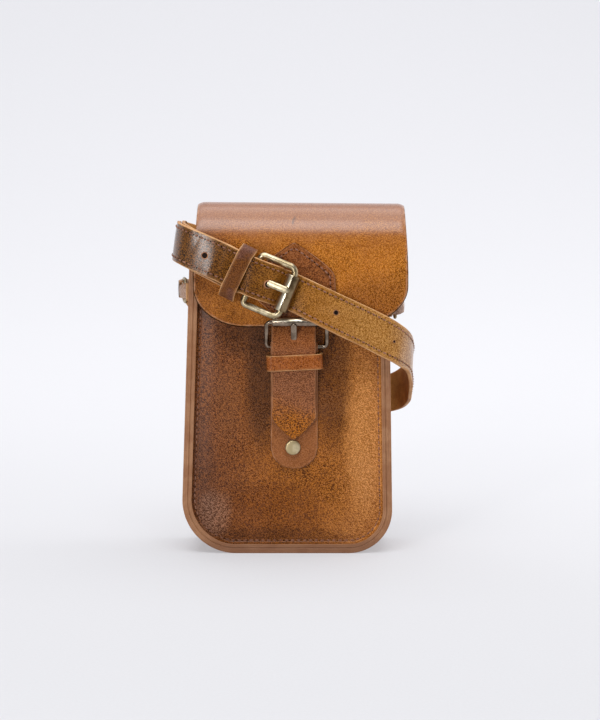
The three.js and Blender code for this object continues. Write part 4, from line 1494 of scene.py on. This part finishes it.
@dataclass
class SideAnchor:
    """A leather loop on the gusset and the ring that it holds, on the left (-1) or right (1)."""

    label: str
    sign: int
    height: float
    loop_tall: float = 10.4
    loop_wall: float = 1.6
    bulge: float = 2.1
    bar_y: float = -8.0
    flat: float = 3.6
    ring_length: float = 14.0
    ring_tall: float = 12.8
    ring_wire: float = 1.0
    ring_corner: float = 2.6
    rear_rise: float = 4.3

    def wall_x(self) -> float:
        """Give the X of the gusset at this height."""
        return float(OUTLINE.side(self.sign, self.height))

    def rear_bar(self) -> Array:
        """Give the middle of the ring's rear bar."""
        x = self.wall_x() + self.sign * self.rear_rise
        return np.array([x, self.bar_y + self.ring_length, self.height])

    def build(self) -> list[Piece]:
        """Make the loop and the ring."""
        loop = Ribbon(*self.loop_rows(), self.loop_wall)
        rise = self.rear_rise - (GAP + self.bulge)
        back = unit(np.array([self.sign * rise, self.ring_length, 0.0]))
        reach = math.hypot(rise, self.ring_length)
        corner = self.ring_corner
        ring = wire_ring(self.ring_tall, reach, corner, corner, self.ring_wire, Z_AXIS, back)
        ring.points += np.array([self.wall_x() + self.sign * (GAP + self.bulge), self.bar_y, self.height])
        node = f"side_ring_{self.label}"
        return [
            leather_piece(f"side_loop_{self.label}", loop.shell(), Finish.LOOP, Finish.EDGE, "rim_leather"),
            Piece(f"{node}_wire", [ring], (Finish.BRASS,), (node,), "antique_brass"),
        ]

    def loop_rows(self) -> Rows:
        """Give the loop's middle line from front to rear, its directions and its widths."""
        seat = GAP + self.loop_wall / 2
        crest = GAP + 2 * self.bulge + self.loop_wall / 2
        front, rear = self.bar_y - self.flat, self.bar_y + self.flat
        # Place along Y, height above the gusset and share of the width
        rows = (
            (-18.0, seat, 1.0), (front - 2, seat, 1.0), (front, seat + 0.5, 0.97),
            (self.bar_y - self.flat * 0.6, crest * 0.72, 0.86), (self.bar_y, crest, 0.6),
            (self.bar_y + self.flat * 0.6, crest * 0.72, 0.86), (rear, seat + 0.5, 0.97), (1.0, seat, 1.0),
        )
        points = np.array([(self.wall_x() + self.sign * rise, y, self.height) for y, rise, _ in rows])
        widths = [self.loop_tall * share for _, _, share in rows]
        return points, repeated(self.sign * Z_AXIS, len(points)), widths


LEFT_ANCHOR = SideAnchor("left", -1, 150.0)
RIGHT_ANCHOR = SideAnchor("right", 1, 141.0, bulge=3.7)


# The closure


@dataclass
class Closure:
    """The buckled closure in the middle of the front."""

    strap_wall: float = 2.1
    base_wall: float = 1.6
    base_half: float = 13.4
    base_centre: float = 3.9
    base_bottom: float = 49.0
    end_centre: float = 61.5
    seam_inset: float = 2.9
    middle: float = 3.6
    head_shift: float = 0.2
    shift_span: Pair = (140.0, 150.0)
    head_end: float = 137.0
    head_face: float = -30.45
    crown: float = 0.25
    rivet_radius: float = 4.35
    rivet_height: float = 1.7
    rivet_spot: Point = (3.1, -25.5, 61.6)

    # Height, depth of the front face and half width, from the sewn head to the tip
    rows = (
        (178.7, -30.2, 0.8), (176.2, -30.4, 4.8), (173.5, -30.5, 8.6), (166.2, -30.5, 18.1),
        (162.4, -30.5, 21.8), (159.4, -30.5, 23.2), (156.0, -30.5, 23.4), (151.0, -30.5, 23.4),
        (146.0, -30.5, 20.3), (141.5, -30.5, 15.2), (138.8, -30.5, 13.0), (136.0, -30.5, 12.5),
        (132.7, -30.7, 12.5), (127.5, -32.0, 12.5), (122.5, -33.5, 12.5), (118.2, -33.8, 12.5),
        (114.5, -32.6, 12.5), (110.0, -31.5, 12.5), (104.0, -31.1, 12.5), (99.0, -29.9, 12.5),
        (92.0, -28.3, 12.5), (85.0, -27.8, 12.5), (78.0, -27.6, 12.5), (66.2, -27.6, 0.8),
    )
    # Height and depth of the base's middle line, up to the heel bar and after it
    base_rows = (
        (61.5, -24.4), (75.0, -24.4), (90.0, -24.5), (96.0, -25.4),
        (101.0, -26.8), (105.0, -27.9), (110.0, -28.2), (113.6, -29.0),
    )
    return_rows = ((114.0, -25.7), (109.0, -25.9), (105.0, -25.9))

    def build(self) -> list[Piece]:
        """Make the closure's pieces."""
        keeper = keeper_ring(width=32.0, depth=10.2, tall=8.8, wall=1.2, spot=(4.2, -28.6, 111.0), tilt=-2.7)
        return [
            self.strap_piece(),
            self.head_seam(),
            self.base_piece(),
            leather_piece("closure_keeper", keeper, Finish.KEEPER, Finish.EDGE, "closure_leather"),
            self.rivet_piece(),
            *CLOSURE_BUCKLE.build(),
        ]

    def centre(self, z: Array) -> Array:
        """Give the X of the strap's middle at a height."""
        return self.middle + self.head_shift * ease(z, *self.shift_span)

    def strap_piece(self) -> Piece:
        """Make the strap with its shield-shaped head."""
        fine = catmull(np.array(self.rows), 5)
        shares = crowded(17)
        x = self.centre(fine[:, :1]) + fine[:, 2:] * shares
        y = fine[:, 1:2] - self.crown * (1 - shares**2) + self.crown
        grid = np.stack([x, y, np.repeat(fine[:, :1], len(shares), 1)], axis=-1)
        surface = Surface(grid.reshape(-1, 3), grid_quads(len(fine), len(shares))[:, ::-1])
        shell = surface.wall(self.strap_wall, EDGE_ROUND)
        return leather_piece("closure_strap", shell, Finish.CLOSURE, Finish.DARK_EDGE, "closure_leather")

    def head_seam(self) -> Piece:
        """Sew round the head, a little inside its edge."""
        fine = catmull(np.array(self.rows), 5)
        head = fine[fine[:, 0] > self.head_end]
        right = np.stack([head[:, 2], head[:, 0]], axis=1)
        along = unit(np.gradient(right, axis=0))
        inset = right + np.stack([along[:, 1], -along[:, 0]], axis=1) * self.seam_inset
        inset = inset[inset[:, 0] > 0.4]
        loop = np.vstack([inset[::-1], inset * [-1.0, 1.0]])
        x = self.centre(loop[:, 1]) + loop[:, 0]
        line = np.stack([x, np.full(len(loop), self.head_face), loop[:, 1]], axis=1)
        return seam_piece("closure_head", [Stitches(pitch=3.45).run(line, repeated(-Y_AXIS, len(line)))])

    def base_piece(self) -> Piece:
        """Make the riveted tab that folds round the heel bar."""
        places = []
        widths = []
        end_radius = self.end_centre - self.base_bottom
        for turn in np.radians([12.0, 24.0, 36.0, 50.0, 66.0]):
            places.append((self.base_rows[0][1], self.end_centre - math.cos(turn) * end_radius))
            widths.append(2 * self.base_half * math.sin(turn))
        places += [(y, z) for z, y in self.base_rows]
        heel = CLOSURE_BUCKLE.heel
        radius = CLOSURE_BUCKLE.wire + GAP + self.base_wall / 2
        for turn in np.radians(np.linspace(-10.0, 190.0, 7)):
            places.append((heel[1] - radius * math.cos(turn), heel[2] + radius * math.sin(turn)))
        places += [(y, z) for z, y in self.return_rows]
        widths += [2 * self.base_half] * (len(places) - len(widths))
        points = np.array([(self.base_centre, y, z) for y, z in places])
        across = repeated(-X_AXIS, len(points))
        shell = Ribbon(points, across, widths, self.base_wall, steps=5).shell()
        return leather_piece("closure_base", shell, Finish.TAB, Finish.DARK_EDGE, "closure_leather")

    def rivet_piece(self) -> Piece:
        """Make the rivet's head."""
        # Shares of its radius and height, from its foot to its middle
        shares = (
            (0.96, 0.0), (1.0, 0.18), (1.0, 0.5), (0.96, 0.76),
            (0.88, 0.92), (0.76, 0.96), (0.4, 0.99), (0.0, 1.0),
        )
        profile = [(self.rivet_radius * out, self.rivet_height * up) for out, up in shares]
        head = lathe(profile, np.array(self.rivet_spot), -Y_AXIS, X_AXIS, 40)
        return Piece("closure_rivet_head", [head], (Finish.RIVET,), ("closure_rivet",), "antique_brass")


# The shoulder strap


@dataclass
class ShoulderStrap:
    """The two straps wrapped round the bag, joined by a roller buckle in front."""

    billet_wall: float = 2.2
    buckle_wall: float = 2.0
    end_width: float = 9.8
    seam_inset: float = 2.7
    fold_width: float = 20.5
    fold_lift: float = 1.5

    billet_rows = (
        Row(-63.9, 6, 179, width=8, lean=6), Row(-63.9, 4.4, 179, width=14.5, lean=6),
        Row(-63.9, 1, 179.1, width=20, lean=7), Row(-63.8, -3, 179.2, lean=8), Row(-63.6, -11, 179.4, lean=8),
        Row(-62.3, -23.4, 178.8, lean=7), Row(-57.5, -31.9, 176.9, lean=3.5),
        Row(-52, -34.2, 174.6, lean=1.5),
        Row(-46.5, -35.5, 172.3), Row(-41, -36.5, 169.9), Row(-36, -37, 167.7), Row(-27.5, -40.4, 163.6),
        Row(-19, -42.7, 160, square=True), Row(-12.5, -41.7, 157.4, square=True),
        Row(-7.7, -39.2, 155.6, square=True), Row(-4.7, -35.9, 154.2, 21.5, square=True),
        Row(-0.7, -33.5, 152.8, 21, square=True), Row(6, -34.2, 149.8, 21, lean=6),
        Row(15, -36, 145.5, 21.3, lean=8), Row(25, -35.9, 140.6, 21.6, lean=8), Row(35, -34.5, 135.7, lean=6),
        Row(46, -32.5, 130.4, lean=3), Row(56, -30.9, 125.0), Row(64.5, -27, 119.7, 21),
        Row(70, -18, 114.0, 20.6),
        Row(71.6, -5, 106.2, 21), Row(71.2, 8, 98.5), Row(69, 19, 91.8), Row(62.5, 27.2, 87), Row(50, 29, 85),
        Row(34, 28.8, 88.5), Row(14, 28.6, 98), Row(-14, 28.5, 115.5), Row(-44, 28.4, 137.5),
        Row(-55, 28.7, 145.5, width=17), Row(-61, 24, 149.5, width=11),
    )
    buckle_rows = (
        Row(63.6, 23.5, 142.5, width=13), Row(57.5, 28.7, 144.6, width=18), Row(46, 28.4, 147.5),
        Row(0, 28.4, 160.5), Row(-46, 28.4, 173), Row(-55.5, 28.7, 175.6), Row(-61, 24, 177.6, lean=5),
        Row(-61.3, 8, 179, lean=8), Row(-61, -11, 179.4, lean=8), Row(-59.8, -22.3, 178.6, lean=7),
        Row(-54.8, -30.9, 175.8, lean=3), Row(-46, -33, 171.1), Row(-36, -34.6, 166.1),
        Row(-27, -37.3, 161.9),
    )
    return_places = ((-27.0, -31.2, 162.6), (-35.0, -30.9, 166.6), (-42.0, -30.5, 169.9))
    # X and Z seen from the front, and radius
    holes = ((-45.9, 171.8, 1.55), (-10.9, 156.1, 1.8), (27.2, 139.7, 1.2), (60.4, 122.7, 0.7))

    def build(self) -> list[Piece]:
        """Make the strap's pieces."""
        spot = (-27.4, -36.8, 162.4)
        keeper = keeper_ring(width=32.0, depth=17.0, tall=9.0, wall=1.3, spot=spot, tilt=116.0, bow=-1.7)
        return [
            *self.billet(),
            *self.buckle_piece(),
            leather_piece("strap_keeper", keeper, Finish.DARK_KEEPER, Finish.EDGE, "strap_leather"),
            *STRAP_BUCKLE.build(),
        ]

    def eye(self, side: SideAnchor, wall: float) -> Rows:
        """Give the rows of a strap end folded round a side ring, from its tail to the main strap."""
        bar = side.rear_bar()
        radius = side.ring_wire + GAP + wall / 2
        turns = np.radians([45.0, 90.0, 135.0])
        flat = [(-radius, 9.0), (-radius, 2.0)]
        flat += [(-radius * math.cos(turn), -radius * math.sin(turn)) for turn in turns]
        flat += [(radius, 2.0), (radius + 0.2, 9.0)]
        points = np.array([bar + np.array([side.sign * dx, dy, 0.0]) for dx, dy in flat])
        return points, repeated(Z_AXIS, len(points)), [self.end_width] * len(points)

    def strip(self, parts: Sequence[Rows], wall: float) -> Ribbon:
        """Join runs of rows into one strap."""
        points, across, widths = zip(*parts)
        return Ribbon(np.vstack(points), np.vstack(across), sum(widths, []), wall, raw_low=1.0, raw_high=0.4)

    def sewn(self, node: str, name: str, strap: Ribbon, start: int, end: int, seed: int) -> list[Piece]:
        """Make a strap's leather and the seams along both its edges.

        Args:
            node: the frame's node.
            name: start of both pieces' names.
            strap: the strap.
            start: first sewn row.
            end: last sewn row.
            seed: what the stitches' unevenness starts from.

        Returns:
            Both pieces.
        """
        edges = {sign: strap.seam(sign, self.seam_inset, start, end) for sign in (-1, 1)}
        seams = [Stitches(seed=sign + seed).run(*edge) for sign, edge in edges.items()]
        shell = strap.shell()
        return [
            leather_piece(node, shell, Finish.STRAP, Finish.EDGE, "strap_leather", Finish.STRAP_BACK, name),
            seam_piece(name, seams),
        ]

    def billet(self) -> list[Piece]:
        """Make the long strap, its seams and its holes."""
        points, across, widths = self.eye(LEFT_ANCHOR, self.billet_wall)
        parts = [upright(self.billet_rows), (points[::-1], across[::-1], widths)]
        strap = self.strip(parts, self.billet_wall)
        holes = [self.hole(strap, *hole) for hole in self.holes]
        return [
            *self.sewn("strap_billet", "strap_billet", strap, 3, len(self.billet_rows) - 2, 5),
            Piece("strap_billet_holes", holes, (Finish.PINHOLE, Finish.DARK_EDGE), (), "strap_leather"),
        ]

    def hole(self, strap: Ribbon, x: float, z: float, radius: float) -> Shell:
        """Make the mouth of a punched hole on the strap's face, at a place seen from the front, dark with
        painted shade.
        """
        away = np.hypot(strap.line[:, 0] - x, strap.line[:, 2] - z)
        at = int(np.argmin(np.where(strap.line[:, 1] < 0, away, np.inf)))
        out, side = strap.out[at], strap.side[at]
        aside = np.array([x - strap.line[at, 0], 0.0, z - strap.line[at, 2]]) @ side
        spot = strap.line[at] + side * aside + out * strap.wall / 2
        mouth = [(0.0, 0.03), (radius * 0.8, 0.04), (radius, 0.06)]
        lip = [(radius, 0.06), (radius * 1.2, 0.16), (radius * 1.45, -0.1)]
        return Shell.joined([lathe(part, spot, out, side, 20, at) for at, part in enumerate((mouth, lip))])

    def buckle_piece(self) -> list[Piece]:
        """Make the short strap that folds round the buckle's heel bar."""
        bar, forward = STRAP_BUCKLE.bar(), STRAP_BUCKLE.forward()
        centre = np.array(STRAP_BUCKLE.heel) + bar * self.fold_lift
        radius = STRAP_BUCKLE.wire + GAP + self.buckle_wall / 2
        turns = np.radians([-10.0, 40.0, 90.0, 140.0, 190.0])
        fold = [centre + forward * radius * math.sin(t) - Y_AXIS * radius * math.cos(t) for t in turns]
        tail = np.array([*fold, *self.return_places])
        end = self.eye(RIGHT_ANCHOR, self.buckle_wall)
        folded = (tail, repeated(bar, len(tail)), [self.fold_width] * len(tail))
        strap = self.strip([end, upright(self.buckle_rows), folded], self.buckle_wall)
        first = len(end[0])
        last = first + len(self.buckle_rows) - 1
        return self.sewn("strap_buckle_piece", "strap_buckle", strap, first + 1, last, 9)


# The studio


@dataclass
class Studio:
    """Floor, backdrop, lights and camera."""

    target: Point = (0.0072, -0.028, 0.1121)
    distance: float = 1.1
    elevation: float = 6.0
    azimuth: float = 0.0
    lens: float = 96.9
    sensor: float = 36.0
    sky: tuple[float, ...] = (0.93, 0.95, 1.0, 1.0)
    sky_strength: float = 0.24
    floor_front: float = -12.0
    floor_half: float = 4.0
    bend_start: float = 0.5
    bend: float = 1.5
    wall_top: float = 4.0

    # Name, azimuth, elevation, distance, size and power
    lights = (
        ("key", -8.0, 62.0, 1.35, (1.0, 0.7), 11.4),
        ("left", -26.0, 9.0, 1.3, (0.16, 0.6), 5.5),
        ("right", 100.0, 16.0, 1.2, (0.7, 0.8), 5.8),
        ("back", 176.0, 80.0, 1.4, (1.4, 1.2), 11.0),
    )

    def build(self) -> None:
        """Set the stage."""
        self.backdrop()
        self.camera()
        for light in self.lights:
            self.light(*light)
        scene = bpy.context.scene
        scene.view_settings.view_transform = "Standard"
        world = bpy.data.worlds.new("soft_room")
        world.use_nodes = True
        sky = next(n for n in world.node_tree.nodes if n.bl_idname == "ShaderNodeBackground")
        sky.inputs["Color"].default_value = self.sky
        sky.inputs["Strength"].default_value = self.sky_strength
        scene.world = world

    def backdrop(self) -> None:
        """Make a pale floor that curves up into a wall behind."""
        turns = np.radians(np.linspace(0.0, 90.0, 16))
        curve = [(self.bend_start + self.bend * math.sin(t), self.bend * (1 - math.cos(t))) for t in turns]
        profile = [(self.floor_front, 0.0), *curve, (self.bend_start + self.bend, self.wall_top)]
        points = [(x, y, z) for y, z in profile for x in (-self.floor_half, self.floor_half)]
        mesh = bpy.data.meshes.new("floor")
        mesh.from_pydata(points, [], grid_quads(len(profile), 2).tolist())
        mesh.polygons.foreach_set("use_smooth", np.ones(len(mesh.polygons), bool))
        mesh.materials.append(Finish.FLOOR.material())
        floor = bpy.data.objects.new("floor", mesh)
        bpy.context.scene.collection.objects.link(floor)

    def camera(self) -> None:
        """Set the camera at the photo's angle."""
        data = bpy.data.cameras.new("camera")
        data.lens = self.lens
        data.sensor_width = self.sensor
        camera = bpy.data.objects.new("camera", data)
        bpy.context.scene.collection.objects.link(camera)
        away = heading(self.azimuth, self.elevation)
        camera.location = Vector(self.target) + away * self.distance
        camera.rotation_euler = (-away).to_track_quat("-Z", "Y").to_euler()
        bpy.context.scene.camera = camera

    def light(
        self, name: str, azimuth: float, elevation: float, away: float,
        size: Pair, power: float,
    ) -> None:
        """Add a soft light that points at the bag.

        Args:
            name: its name.
            azimuth: degrees to the right of the front.
            elevation: degrees above the floor.
            away: distance in metres.
            size: its width and height in metres.
            power: in watts.
        """
        data = bpy.data.lights.new(name, "AREA")
        data.shape = "RECTANGLE"
        data.size, data.size_y = size
        data.energy = power
        made = bpy.data.objects.new(name, data)
        offset = heading(azimuth, elevation)
        made.location = Vector(self.target) + offset * away
        made.rotation_euler = (-offset).to_track_quat("-Z", "Y").to_euler()
        bpy.context.scene.collection.objects.link(made)


def main() -> None:
    """Build the bag's pieces and the studio, and log each piece's quad count."""
    logging.basicConfig(level=logging.INFO, format="%(message)s")
    assemblies = (Pouch(), Closure(), LEFT_ANCHOR, RIGHT_ANCHOR, ShoulderStrap())
    for assembly in assemblies:
        for piece in assembly.build():
            made = piece.build()
            log.info("%s: %d quads", made.name, len(made.data.polygons))
    Studio().build()
    bpy.context.view_layer.update()


if __name__ == "__main__":
    main()
